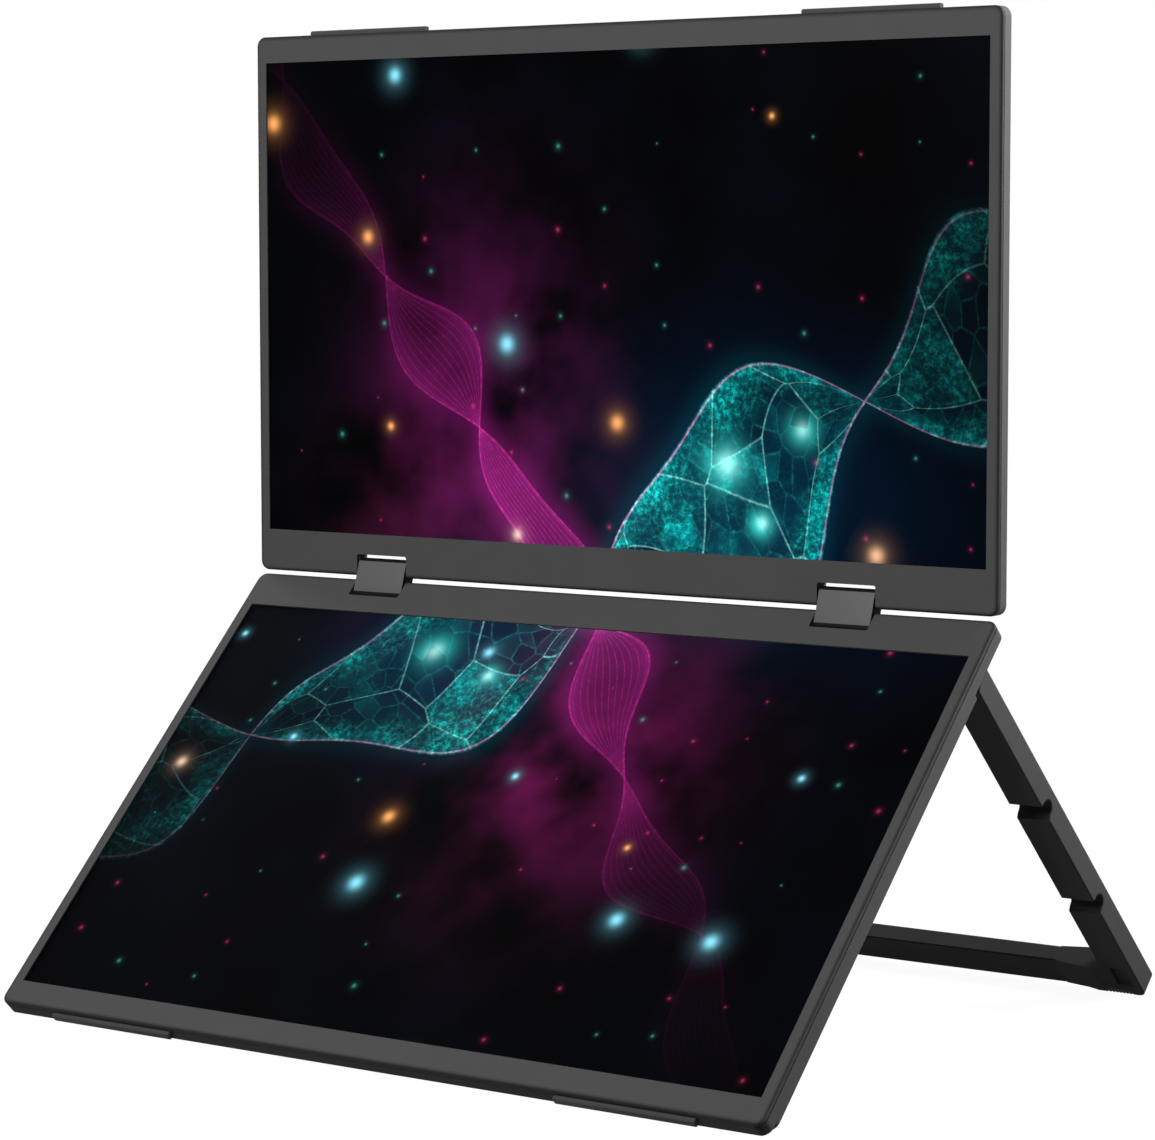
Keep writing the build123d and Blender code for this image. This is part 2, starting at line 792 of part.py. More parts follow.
def make_buttons(face):
    """Push buttons held behind the side wall by a flange, and the switches that they press."""
    wall = section_plane(face, side_face)
    flange_start = side_wall + button_play
    stem_start = flange_start + button_flange_depth
    stem_end = stem_start + button_stem_length
    for name, row in zip(button_names, button_rows):
        with BuildPart() as button:
            with BuildSketch(wall):
                with Locations((row, -port_middle)):
                    RectangleRounded(button_length, button_height, button_round)
            extrude(amount=-flange_start)
            with BuildSketch(wall.offset(-flange_start)):
                with Locations((row, -port_middle)):
                    Rectangle(button_length + 2 * button_flange, button_height + button_flange)
            extrude(amount=-button_flange_depth)
            with BuildSketch(wall.offset(-stem_start)):
                with Locations((row, -port_middle)):
                    Circle(button_stem_radius)
            extrude(amount=-button_stem_length)
        save(button, name)
    switch_front = stem_end + button_travel + button_over_travel
    with BuildPart() as switches:
        with BuildSketch(wall.offset(-switch_front)):
            with Locations([(row, -port_middle) for row in button_rows]):
                Rectangle(switch_length, switch_height)
        extrude(amount=-(board_outer_inset - switch_front))
    save(switches, "side_switches")


def make_speakers(face):
    """Flat box speakers on the cover's floor, behind the slots."""
    for side in sides:
        with BuildPart() as speaker:
            with BuildSketch(face.offset(-bulge_inner)):
                with Locations((local_x("lower", side) * speaker_offset, speaker_row)):
                    RectangleRounded(speaker_length, speaker_width, speaker_corner)
            extrude(amount=speaker_height)
        save(speaker, f"speaker_{side}")


def make_ribbon(face):
    """Flat cable from the main board, behind the panel module, to the driver board."""
    under_plate = -(module_back + ribbon_plate_gap + ribbon_thickness / 2)
    on_board = -(board_front - ribbon_thickness / 2)
    on_driver = -(driver_front - ribbon_thickness / 2)
    driver_end = driver_start + driver_width
    with BuildPart() as ribbon:
        with BuildSketch(section_plane(face, ribbon_offset)):
            with BuildLine() as route:
                Polyline(
                    (board_start + ribbon_board_lap, on_board),
                    (board_start - ribbon_thickness, on_board),
                    (board_start - ribbon_bend, under_plate),
                    (driver_end + ribbon_bend, under_plate),
                    (driver_end + ribbon_thickness, on_driver),
                    (driver_end - ribbon_board_lap, on_driver),
                )
                offset(amount=ribbon_thickness / 2, side=Side.BOTH, kind=Kind.INTERSECTION)
            make_face()
        extrude(amount=ribbon_width / 2, both=True)
    save(ribbon, "signal_ribbon")


# Leg
def arm_notch(centre):
    """Notch in an arm's inner face: a round bottom and a mouth that flares to the foot."""
    round_level = arm_notch_depth - arm_notch_radius - leg_inner
    with Locations((centre, round_level)):
        Circle(arm_notch_radius, mode=Mode.SUBTRACT)
    Polygon(
        (centre - arm_notch_radius - arm_notch_near, -leg_inner),
        (centre + arm_notch_radius + arm_notch_far, -leg_inner),
        (centre + arm_notch_radius, round_level),
        (centre - arm_notch_radius, round_level),
        align=None,
        mode=Mode.SUBTRACT,
    )


def arm_section():
    """Side view of an arm: round at the root where it turns past the display's back."""
    root_drop = sqrt(root_radius**2 - leg_inner**2)
    half_turn = atan2(leg_inner, root_drop) / 2
    with BuildLine() as edge:
        Polyline(
            (-root_drop, -leg_inner),
            (arm_length, -leg_inner),
            (arm_length, leg_outer),
            (-root_radius, leg_outer),
            (-root_radius, 0),
        )
        middle = (-root_radius * cos(half_turn), -root_radius * sin(half_turn))
        ThreePointArc((-root_radius, 0), middle, (-root_drop, -leg_inner))
    make_face(edge.edges())


def thin_foot():
    """Slopes that take the foot down to the cross bar's section at its inner end."""
    across = Plane(origin=leg_axis, x_dir=(1, 0, 0), z_dir=lower_front * -1)
    for level, inwards in ((leg_inner, -bar_recess), (-leg_outer, bar_recess)):
        with BuildSketch(across) as face_slope:
            Polygon((foot_inner, level), (flat_inner, level), (foot_inner, level + inwards), align=None)
        cut_through(face_slope, arm_length)
    with BuildSketch(leg_plan.offset(-leg_inner)) as end_slope:
        Polygon(
            (foot_inner, bar_end),
            (flat_inner - foot_slope, bar_end),
            (flat_inner, arm_length),
            (foot_inner, arm_length),
            align=None,
        )
    cut_through(end_slope, arm_thickness)


def make_leg_arm(side):
    """Arm with a bush at its root, two notches, and a foot that reaches in to the cross bar."""
    with BuildPart() as arm:
        with BuildSketch(leg_side.offset(foot_inner)):
            arm_section()
            for n in range(notch_count):
                arm_notch(notch_place + n * notch_pitch)
        extrude(amount=foot_reach)
        along = Axis(leg_side.origin, leg_side.x_dir)
        outer_corner = arm.faces().sort_by(Axis.X)[-1].edges().sort_by(along)[-1]
        fillet(outer_corner, foot_corner)
        outer_edges = arm.faces().sort_by(Axis.X)[-1].edges()
        end_edges = arm.faces().sort_by(along)[-1].edges().filter_by(Axis.X)
        corner_edges = arm.edges().filter_by(GeomType.CIRCLE).sort_by(along)[-2:]
        fillet(outer_edges + end_edges + corner_edges, arm_round)
        beside_foot = bar_middle - bar_depth / 2 + root_radius
        with BuildSketch(leg_side.offset(foot_inner)):
            with Locations((beside_foot / 2 - root_radius, arm_middle)):
                Rectangle(beside_foot, arm_thickness)
        extrude(amount=arm_inner - foot_inner, mode=Mode.SUBTRACT)
        thin_foot()
        with BuildSketch(leg_plan.offset(-leg_inner)):
            pocket_x = side_face - foot_pocket_inset - foot_pocket_width / 2
            with Locations((pocket_x, arm_length - foot_pocket_end - foot_pocket_length / 2)):
                Rectangle(foot_pocket_width, foot_pocket_length)
        extrude(amount=foot_pocket_depth, mode=Mode.SUBTRACT)
        with BuildSketch(leg_side.offset(arm_inner)):
            Circle(bush_radius + fixed_gap)
        extrude(amount=bush_length, mode=Mode.SUBTRACT)
        with BuildSketch(leg_side.offset(pad_middle)):
            with Locations((arm_length - pad_size / 2, -leg_inner + pad_size / 2)):
                Rectangle(pad_size, pad_size)
        extrude(amount=pad_length / 2, both=True, mode=Mode.SUBTRACT)
        with BuildSketch(leg_side.offset(foot_inner)):
            with Locations((bar_middle, arm_middle)):
                Rectangle(tenon_width + 2 * running_gap, tenon_height + 2 * running_gap)
        extrude(amount=tenon_length + running_gap, mode=Mode.SUBTRACT)
        with BuildSketch(leg_plan.offset(leg_outer)):
            with Locations((leg_screw_x, bar_middle)):
                Circle(leg_screw_head + screw_hole_gap)
        extrude(amount=-(bar_recess + leg_screw_head_depth), mode=Mode.SUBTRACT)
        with BuildSketch(leg_plan.offset(bar_back)):
            with Locations((leg_screw_x, bar_middle)):
                Circle(leg_screw_radius + screw_hole_gap)
        extrude(amount=-(bar_back - arm_middle), mode=Mode.SUBTRACT)
        if side == "left":
            mirror(about=Plane.YZ, mode=Mode.REPLACE)
    save(arm, f"leg_arm_{side}")


def make_foot_pad(side):
    """Rubber pad let into the foot's lowest corner."""
    with BuildPart() as pad:
        with BuildSketch(leg_side.offset(sides[side] * pad_middle)) as profile:
            with Locations((arm_length - pad_size / 2, -leg_inner + pad_size / 2)):
                Rectangle(pad_size, pad_size)
            corner = profile.vertices().group_by(Axis.X)[-1].sort_by(Axis.Y)[0]
            fillet(corner, arm_round)
        extrude(amount=pad_length / 2, both=True)
    save(pad, f"leg_foot_pad_{side}")


def make_cross_bar():
    """Bar between the feet, with a tenon into each."""
    with BuildPart() as bar:
        with BuildSketch(leg_side):
            with Locations((bar_middle, arm_middle)):
                RectangleRounded(bar_depth, arm_thickness - 2 * bar_recess, bar_round)
        extrude(amount=foot_inner, both=True)
        with BuildSketch(leg_side):
            with Locations((bar_middle, arm_middle)):
                Rectangle(tenon_width, tenon_height)
        extrude(amount=foot_inner + tenon_length, both=True)
        with BuildSketch(leg_plan.offset(arm_middle)):
            with Locations((-leg_screw_x, bar_middle), (leg_screw_x, bar_middle)):
                Circle(leg_screw_radius + fixed_gap)
        extrude(amount=tenon_height / 2, both=True, mode=Mode.SUBTRACT)
    save(bar, "leg_cross_bar")


def make_leg_screws():
    """Screws through the arms into the tenons."""
    with BuildPart() as screws:
        with BuildSketch(leg_plan.offset(bar_back)):
            with Locations((-leg_screw_x, bar_middle), (leg_screw_x, bar_middle)):
                Circle(leg_screw_head)
        extrude(amount=-leg_screw_head_depth)
        with BuildSketch(leg_plan.offset(bar_back - leg_screw_head_depth)):
            with Locations((-leg_screw_x, bar_middle), (leg_screw_x, bar_middle)):
                Circle(leg_screw_radius)
        extrude(amount=-(leg_screw_length - leg_screw_head_depth))
    save(screws, "leg_screws")


def make_leg_hinge():
    """Blocks on the lower display's back, the pins in them, and the bushes in the arms."""
    for side, sign in sides.items():
        with BuildPart() as block:
            with BuildSketch(leg_side.offset(sign * block_middle)):
                Circle(block_radius)
                base = leg_axis_depth - display_depth
                with Locations((-base / 2, 0)):
                    Rectangle(base, 2 * block_radius)
                Circle(leg_pin_radius + fixed_gap, mode=Mode.SUBTRACT)
            extrude(amount=block_width / 2, both=True)
            with BuildSketch(lower_face.offset(-display_depth)):
                with Locations((local_x("lower", side) * block_middle, leg_row)):
                    with GridLocations(2 * block_screw_spread, 0, 2, 1):
                        Circle(block_screw_radius + fixed_gap)
            extrude(amount=-(block_screw_length - back_skin), mode=Mode.SUBTRACT)
        save(block, f"leg_hinge_block_{side}")
        pin_inner = block_middle - block_width / 2 + pin_recess
        pin_outer = arm_inner + bush_length - pin_recess
        with BuildPart() as pin:
            with BuildSketch(leg_side.offset(sign * (pin_inner + pin_outer) / 2)):
                Circle(leg_pin_radius)
            extrude(amount=(pin_outer - pin_inner) / 2, both=True)
        save(pin, f"leg_pin_{side}")
    with BuildPart() as screws:
        for side in sides:
            with BuildSketch(lower_face.offset(-skin_inner)):
                with Locations((local_x("lower", side) * block_middle, leg_row)):
                    with GridLocations(2 * block_screw_spread, 0, 2, 1):
                        Circle(block_screw_head)
            extrude(amount=block_screw_head_depth)
            with BuildSketch(lower_face.offset(-skin_inner)):
                with Locations((local_x("lower", side) * block_middle, leg_row)):
                    with GridLocations(2 * block_screw_spread, 0, 2, 1):
                        Circle(block_screw_radius)
            extrude(amount=-(block_screw_length - pin_recess))
    save(screws, "leg_block_screws")
    with BuildPart() as bushes:
        for sign in sides.values():
            with BuildSketch(leg_side.offset(sign * (arm_inner + bush_length / 2))):
                Circle(bush_radius)
                Circle(leg_pin_radius + running_gap, mode=Mode.SUBTRACT)
            extrude(amount=bush_length / 2, both=True)
    save(bushes, "leg_bushes")


for display, front_plane in displays.items():
    make_front_bezel(display, front_plane)
    make_back_cover(display, front_plane)
    make_panel_layers(display, front_plane)
    make_driver_board(display, front_plane)
    make_cover_screws(display, front_plane)
    make_edge_strips(display, front_plane)
    for hinge_side in sides:
        make_hinge_bracket(display, front_plane, hinge_side)
        make_hinge_pin(display, front_plane, hinge_side)

for link_name in sides:
    make_hinge_link(link_name)
make_link_washers()

make_main_board(lower_face)
make_ports(lower_face)
make_buttons(lower_face)
make_speakers(lower_face)
make_ribbon(lower_face)

for arm_name in sides:
    make_leg_arm(arm_name)
    make_foot_pad(arm_name)
make_cross_bar()
make_leg_screws()
make_leg_hinge()
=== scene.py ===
"""Looks of a dual portable monitor: two lit displays on double hinges, with a folding leg behind."""

import logging
import math
from collections.abc import Callable
from dataclasses import dataclass
from enum import Enum
from functools import cache

import bmesh
import bpy
import numpy as np
from mathutils import Matrix, Vector


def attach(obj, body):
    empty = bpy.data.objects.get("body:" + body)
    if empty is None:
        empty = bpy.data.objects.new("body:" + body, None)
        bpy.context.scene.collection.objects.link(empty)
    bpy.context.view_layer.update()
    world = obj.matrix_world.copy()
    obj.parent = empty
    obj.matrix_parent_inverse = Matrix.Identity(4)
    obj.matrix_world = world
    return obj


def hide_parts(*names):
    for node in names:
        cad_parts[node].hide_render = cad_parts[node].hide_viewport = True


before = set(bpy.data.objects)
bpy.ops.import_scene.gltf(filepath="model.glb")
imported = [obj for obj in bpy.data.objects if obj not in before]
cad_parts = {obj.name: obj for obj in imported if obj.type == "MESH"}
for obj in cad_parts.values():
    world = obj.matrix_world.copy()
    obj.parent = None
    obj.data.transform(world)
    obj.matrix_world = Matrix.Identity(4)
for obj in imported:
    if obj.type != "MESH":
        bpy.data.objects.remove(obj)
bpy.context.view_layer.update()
log = logging.getLogger("dual_monitor")

MM = 0.001
X_AXIS = (1.0, 0.0, 0.0)


def mm(*sizes: float) -> tuple:
    """Sizes in millimetres as metres."""
    return tuple(size * MM for size in sizes)


class Display(Enum):
    """The two displays, by the name that their pieces start with."""

    LOWER = "lower"
    UPPER = "upper"


class Side(Enum):
    """Real left and right of the object, with the sign of X."""

    LEFT = -1
    RIGHT = 1

    @property
    def word(self) -> str:
        """The side as it stands in a piece's name."""
        return self.name.lower()


@dataclass(frozen=True)
class Facing:
    """A front face in space: the middle of its hinge edge, and its directions.

    The right direction is +X on both displays. up runs from the hinge edge to the free edge, and front
    points to the user.
    """

    origin: tuple
    up: tuple
    front: tuple

    def point(self, x: np.ndarray, row: np.ndarray, height: np.ndarray) -> np.ndarray:
        """Points from arrays of a place along X, a distance from the hinge edge and a height over the face.

        Args:
            x: places along X, in metres.
            row: distances from the hinge edge towards the free edge.
            height: heights over the front face, negative behind it.

        Returns:
            An array with one more axis, of three coordinates.
        """
        x, row, height = np.broadcast_arrays(x, row, height)
        place = np.array(self.origin) + row[..., None] * np.array(self.up)
        place = place + height[..., None] * np.array(self.front)
        place[..., 0] += x
        return place


def slope(angle: float) -> tuple:
    """Unit vector square to X, at an angle above the table in degrees, pointing backwards and up."""
    return (0.0, math.cos(math.radians(angle)), math.sin(math.radians(angle)))


def square_to(angle: float) -> tuple:
    """Unit vector square to X and to slope(angle), pointing forwards."""
    return (0.0, -math.sin(math.radians(angle)), math.cos(math.radians(angle)))


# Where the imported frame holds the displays, the links and the leg at rest
LOWER_TILT = 44.52628
UPPER_TILT = 89.52628
LINK_TILT = 71.92628
LOWER_DOWN = tuple(-c for c in slope(LOWER_TILT))
FACES = {
    Display.LOWER: Facing((0.0, 0.0157901, 0.160126), LOWER_DOWN, square_to(LOWER_TILT)),
    Display.UPPER: Facing((0.0, 0.0153701, 0.161315), slope(UPPER_TILT), square_to(UPPER_TILT)),
}
LINK_FACE = Facing((0.0, 0.0156089, 0.155319), slope(LINK_TILT), square_to(LINK_TILT))
LEG_BACK = tuple(-c for c in square_to(LOWER_TILT))
LEG_FACE = Facing((0.0, 0.00850527, 0.134306), LEG_BACK, slope(LOWER_TILT))

# Edges that turn by more than this stay sharp on the meshes made here
SHARP_ANGLE = math.radians(50.0)

# The outline of both displays
HALF_WIDTH = 177.25 * MM
LENGTH = 221.6 * MM
CORNER = 4.0 * MM


# Material graphs
def operator(operation: str) -> Callable[..., "Signal"]:
    """A method of Signal that puts it, and other signals or numbers after it, through a Math node.

    Args:
        operation: the node's operation.

    Returns:
        The method.
    """

    def method(self: "Signal", *others: object) -> "Signal":
        """The Math node's result."""
        return self.graph.math(operation, self, *others)

    return method


class Signal:
    """A socket of a node graph that takes part in formulas like a number."""

    __add__ = __radd__ = operator("ADD")
    __sub__ = operator("SUBTRACT")
    __mul__ = __rmul__ = operator("MULTIPLY")
    __truediv__ = operator("DIVIDE")
    __pow__ = operator("POWER")
    sine = operator("SINE")
    size = operator("ABSOLUTE")
    sign = operator("SIGN")
    fraction = operator("FRACT")
    least = operator("MINIMUM")
    most = operator("MAXIMUM")

    def __init__(self, graph: "Graph", socket: bpy.types.NodeSocket) -> None:
        """Keeps the socket and the graph that new nodes go into."""
        self.graph = graph
        self.socket = socket

    def __rsub__(self, other: object) -> "Signal":
        """A number less this one."""
        return self.graph.math("SUBTRACT", other, self)

    def bell(self, width: object) -> "Signal":
        """Bell curve: e to the power of minus the square of this over the width."""
        part = self / width
        return self.graph.math("EXPONENT", part * part * -1.0)

    def step(self, low: float, high: float) -> "Signal":
        """Smooth step from 0 at the low value to 1 at the high one."""
        reach = {"interpolation_type": "SMOOTHSTEP", "From_Min": low, "From_Max": high}
        return self.graph.first("ShaderNodeMapRange", Value=self, **reach)


class Graph:
    """The node graph of a material or of the world, with short names for the nodes used here."""

    def __init__(self, owner: bpy.types.ID) -> None:
        """Switches the nodes of a new material or world on.

        Args:
            owner: the material or world.
        """
        owner.use_nodes = True
        self.owner = owner
        self.nodes = owner.node_tree.nodes
        self.links = owner.node_tree.links
        self.shader = next(n for n in self.nodes if n.type in ("BSDF_PRINCIPLED", "BACKGROUND"))

    def put(self, socket: bpy.types.NodeSocket, value: object) -> None:
        """Links a signal to an input, or writes a number, vector or colour on it.

        Args:
            socket: the input.
            value: a signal, a number or a tuple.
        """
        if isinstance(value, Signal):
            self.links.new(value.socket, socket)
        elif socket.type == "RGBA":
            socket.default_value = (*value[:3], 1.0)
        else:
            socket.default_value = value

    def fill(self, node: bpy.types.Node, named: dict) -> None:
        """Sets up a node.

        Args:
            node: the node.
            named: its own settings by their names in small letters, and values for its inputs by their
                labels, with underscores for spaces.
        """
        for name, value in named.items():
            if name[0].isupper():
                self.put(node.inputs[name.replace("_", " ")], value)
            else:
                setattr(node, name, value)

    def surface(self, **named: object) -> None:
        """Sets up the shader."""
        self.fill(self.shader, named)

    def node(self, kind: str, *values: object, **named: object) -> bpy.types.Node:
        """A new node.

        Args:
            kind: Blender's name for the kind of node.
            values: values for its first inputs, in their order.
            named: settings and further inputs, as for fill.

        Returns:
            The node.
        """
        made = self.nodes.new(kind)
        self.fill(made, named)
        for socket, value in zip(made.inputs, values):
            self.put(socket, value)
        return made

    def first(self, kind: str, *values: object, **named: object) -> Signal:
        """The first output of a new node."""
        return Signal(self, self.node(kind, *values, **named).outputs[0])

    def math(self, operation: str, *values: object) -> Signal:
        """Result of a Math node."""
        return self.first("ShaderNodeMath", *values, operation=operation)

    def place(self) -> Signal:
        """Object coordinates."""
        return Signal(self, self.node("ShaderNodeTexCoord").outputs["Object"])

    def along(self, point: Signal, direction: tuple, start: tuple = (0.0, 0.0, 0.0)) -> Signal:
        """How far a point lies from a start along a direction of length one."""
        dot = self.node("ShaderNodeVectorMath", point, direction, operation="DOT_PRODUCT")
        return Signal(self, dot.outputs["Value"]) - sum(a * b for a, b in zip(direction, start))

    def vector(self, x: object, y: object) -> Signal:
        """A vector from two numbers or signals."""
        return self.first("ShaderNodeCombineXYZ", x, y)

    def noise(self, point: Signal, size: float, detail: float = 2.0, roughness: float = 0.5) -> Signal:
        """Cloudy noise about 0.5, with patches of a size in metres."""
        grid = {"Vector": point, "Scale": 1.0 / size}
        return self.first("ShaderNodeTexNoise", **grid, Detail=detail, Roughness=roughness)

    def cells(self, point: Signal, pitch: float, scatter: float, **settings: str) -> bpy.types.Node:
        """A Voronoi node on a grid with a pitch in metres, whose cells stray by the scatter."""
        grid = {"Vector": point, "Scale": 1.0 / pitch, "Randomness": scatter}
        return self.node("ShaderNodeTexVoronoi", **grid, **settings)

    def draws(self, cells: bpy.types.Node) -> list:
        """Three numbers from 0 to 1 for each cell."""
        split = self.node("ShaderNodeSeparateColor", Color=Signal(self, cells.outputs["Color"]))
        return [Signal(self, out) for out in split.outputs]

    def blend(self, factor: object, first: object, second: object) -> Signal:
        """A colour mixed from two, by the sockets that a Mix node has for colours.

        Args:
            factor: share of the second colour.
            first: first colour.
            second: second colour.

        Returns:
            The mixed colour.
        """
        made = self.node("ShaderNodeMix", data_type="RGBA")
        for place, value in ((0, factor), (6, first), (7, second)):
            self.put(made.inputs[place], value)
        return Signal(self, made.outputs[2])

    def tint(self, colour: object, strength: object) -> Signal:
        """A colour times a strength."""
        return self.first("ShaderNodeVectorMath", colour, operation="SCALE", Scale=strength)

    def layer(self, *colours: Signal) -> Signal:
        """Sum of colours.

        Args:
            colours: two or more colours.

        Returns:
            Their sum.
        """
        total = colours[0]
        for colour in colours[1:]:
            total = self.first("ShaderNodeVectorMath", total, colour, operation="ADD")
        return total

    def shown(self) -> Signal:
        """Which light shows a white thing as it is.

        Returns:
            One for rays of the camera, in reflections and through clear things, and zero for other light.
        """
        rays = self.node("ShaderNodeLightPath").outputs
        kinds = ("Is Camera Ray", "Is Glossy Ray", "Is Transmission Ray")
        camera, glossy, clear = (Signal(self, rays[kind]) for kind in kinds)
        return camera.most(glossy).most(clear)

    def relief(self, height: Signal, depth: float) -> None:
        """Bumps of a depth in metres from a height of 0 to 1."""
        self.surface(Normal=self.first("ShaderNodeBump", Height=height, Strength=1.0, Distance=depth))


@dataclass(frozen=True)
class Finish:
    """A matt or satin surface: an even colour with cloudy mottling, a fine grain and a gloss that varies.

    The colour is scaled by one plus twice the mottling times a centred cloud, plus the mottling times the
    centred grain. The roughness is moved by the same cloud. The grain is a relief of fine noise.
    """

    name: str
    colour: tuple
    roughness: float
    specular: float = 0.5
    mottling: float = 0.08
    mottling_size: float = 18 * MM
    cloud_detail: float = 3.0
    grain_size: float = 0.35 * MM
    grain_depth: float = 0.02 * MM
    grain_detail: float = 2.0
    grain_roughness: float = 0.6
    gloss_change: float = 0.06

    def shade(self, graph: Graph, point: Signal) -> object:
        """What the colour is scaled by on top of the mottling; the display finishes below put painted shade
        here, this one none.
        """
        return 1.0

    def make(self) -> bpy.types.Material:
        """Builds the material.

        Returns:
            The new material.
        """
        graph = Graph(bpy.data.materials.new(self.name))
        point = graph.place()
        cloud = graph.noise(point, self.mottling_size, self.cloud_detail) - 0.5
        grain = graph.noise(point, self.grain_size, self.grain_detail, self.grain_roughness)
        mottled = 1.0 + cloud * (2 * self.mottling) + (grain - 0.5) * self.mottling
        graph.surface(
            Base_Color=graph.tint(self.colour, mottled * self.shade(graph, point)),
            Roughness=self.roughness + cloud * (2 * self.gloss_change),
            Specular_IOR_Level=self.specular,
        )
        graph.relief(grain, self.grain_depth)
        return graph.owner


@dataclass(frozen=True)
class EdgeShadedFinish(Finish):
    """A display's moulding, with painted shade where its edge rolls over, and less of it on the side walls.

    The distance to the edge is that of a rectangle with round corners: with u and v how far a point lies
    outside the rectangle of the arcs' centres, it is the radius minus the length of (u, v) where both are
    positive, and minus the larger of the two elsewhere.
    """

    face: Facing = FACES[Display.UPPER]
    # Painted shade on the rolled edge, and the lighter tone it keeps on the side walls.
    roll_shade_reach: tuple = mm(0.15, 2.1)
    roll_shade_tone: float = 0.22
    wall_lit_reach: tuple = mm(0.1, 0.5)
    wall_lit_tone: float = 0.95
    corner_reach: float = 1.0 * MM

    def shade(self, graph: Graph, point: Signal) -> object:
        """Painted shade: the roll's tone near the edge's outside, one further in than its reach, and lighter
        on the side walls, where the lamps light the roll.

        Args:
            graph: the material's graph.
            point: object coordinates.

        Returns:
            What the colour is scaled by.
        """
        across = graph.along(point, X_AXIS).size() - (HALF_WIDTH - CORNER)
        row = graph.along(point, self.face.up, self.face.origin)
        up = (row - LENGTH / 2).size() - (LENGTH / 2 - CORNER)
        right, top = across.most(0.0), up.most(0.0)
        outside = (right * right + top * top) ** 0.5
        inside = across.most(up).least(0.0)
        edge = CORNER - outside - inside
        wall = (1.0 - edge.step(*self.wall_lit_reach)) * (across - up).step(0.0, self.corner_reach)
        # Painted shade over the rolled edge, eased on the side walls.
        roll_shade = self.roll_shade_tone + (1.0 - self.roll_shade_tone) * edge.step(*self.roll_shade_reach)
        return roll_shade + wall * (self.wall_lit_tone - self.roll_shade_tone)


@dataclass(frozen=True)
class EdgeShadedCoverFinish(Finish):
    """A display's back cover, with painted shade on the narrow face of its free edge."""

    face: Facing = FACES[Display.UPPER]
    # Painted shade on the narrow face of the free edge, which faces down, away from the lamps.
    free_edge_shade_tone: float = 0.3
    free_edge_shade_depth: tuple = mm(1.4, 0.5)

    def shade(self, graph: Graph, point: Signal) -> object:
        """Painted shade: one, falling to the free edge's shade tone over the last millimetre."""
        free = graph.along(point, self.face.up, self.face.origin).step(*(LENGTH - d for d in self.free_edge_shade_depth))
        return 1.0 - (1.0 - self.free_edge_shade_tone) * free


@dataclass(frozen=True)
class BrushedFinish:
    """Bare metal with fine scratches along X: noise that is drawn out along X."""

    name: str
    colour: tuple
    roughness: float
    stretch: float = 100.0
    scratch: float = 0.08 * MM
    scratch_detail: float = 3.0
    scratch_roughness: float = 0.6
    depth: float = 0.004 * MM
    tone_change: float = 0.25
    gloss_change: float = 0.2

    def make(self) -> bpy.types.Material:
        """Builds the material.

        Returns:
            The new material.
        """
        graph = Graph(bpy.data.materials.new(self.name))
        scale = (1.0 / self.stretch, 1.0, 1.0)
        point = graph.first("ShaderNodeMapping", Vector=graph.place(), Scale=scale)
        lines = graph.noise(point, self.scratch, self.scratch_detail, self.scratch_roughness)
        graph.surface(
            Base_Color=graph.tint(self.colour, 1.0 + (lines - 0.5) * self.tone_change),
            Roughness=self.roughness + (lines - 0.5) * self.gloss_change,
            Metallic=1.0,
        )
        graph.relief(lines, self.depth)
        return graph.owner


@dataclass(frozen=True)
class BoardFinish:
    """Circuit board: solder mask over a maze of raised tracks, with a bare pad in the middle of each cell.

    A track runs where a broad noise, times the number of bands, is near a whole number.
    """

    name: str
    mask: tuple = (0.008, 0.07, 0.03)
    track: tuple = (0.02, 0.14, 0.06)
    pad: tuple = (0.75, 0.6, 0.3)
    roughness: float = 0.35
    pitch: float = 1.6 * MM
    scatter: float = 0.35
    pad_edge: tuple = (0.13, 0.17)
    band_size: float = 3.84 * MM
    bands: float = 9.0
    track_edge: tuple = (0.28, 0.34)
    track_height: float = 0.03 * MM

    def make(self) -> bpy.types.Material:
        """Builds the material.

        Returns:
            The new material.
        """
        graph = Graph(bpy.data.materials.new(self.name))
        point = graph.place()
        cells = graph.cells(point, self.pitch, self.scatter, distance="CHEBYCHEV")
        pads = 1.0 - Signal(graph, cells.outputs["Distance"]).step(*self.pad_edge)
        band = (graph.noise(point, self.band_size, 0.0) * self.bands).fraction()
        track = (band - 0.5).size().step(*self.track_edge)
        board = graph.blend(track, self.mask, self.track)
        graph.surface(
            Base_Color=graph.blend(pads, board, self.pad), Metallic=pads, Roughness=self.roughness
        )
        graph.relief(track, self.track_height)
        return graph.owner


class Picture:
    """The picture on both screens, in one screen's graph.

    Its coordinates are metres to the right of the middle and upwards, with the hinge edge of each display
    at zero, so the design runs on from one screen to the other.
    """

    def __init__(self, graph: Graph, face: Facing, upwards: float) -> None:
        """Works the coordinates out.

        Args:
            graph: the material's graph.
            face: the display's front.
            upwards: 1 where the display rises from its hinge edge, or else -1.
        """
        point = graph.place()
        self.graph = graph
        self.x = graph.along(point, X_AXIS)
        self.y = graph.along(point, face.up, face.origin) * upwards
        self.place = graph.vector(self.x, self.y)

    def glow(self, middle: tuple, size: tuple) -> Signal:
        """Bell-shaped glow about a middle, with its own width and height."""
        return (self.x - middle[0]).bell(size[0]) * (self.y - middle[1]).bell(size[1])

    def cloud(self, size: float, detail: float = 2.0, roughness: float = 0.5) -> Signal:
        """Cloudy noise with patches of a size."""
        return self.graph.noise(self.place, size, detail, roughness)


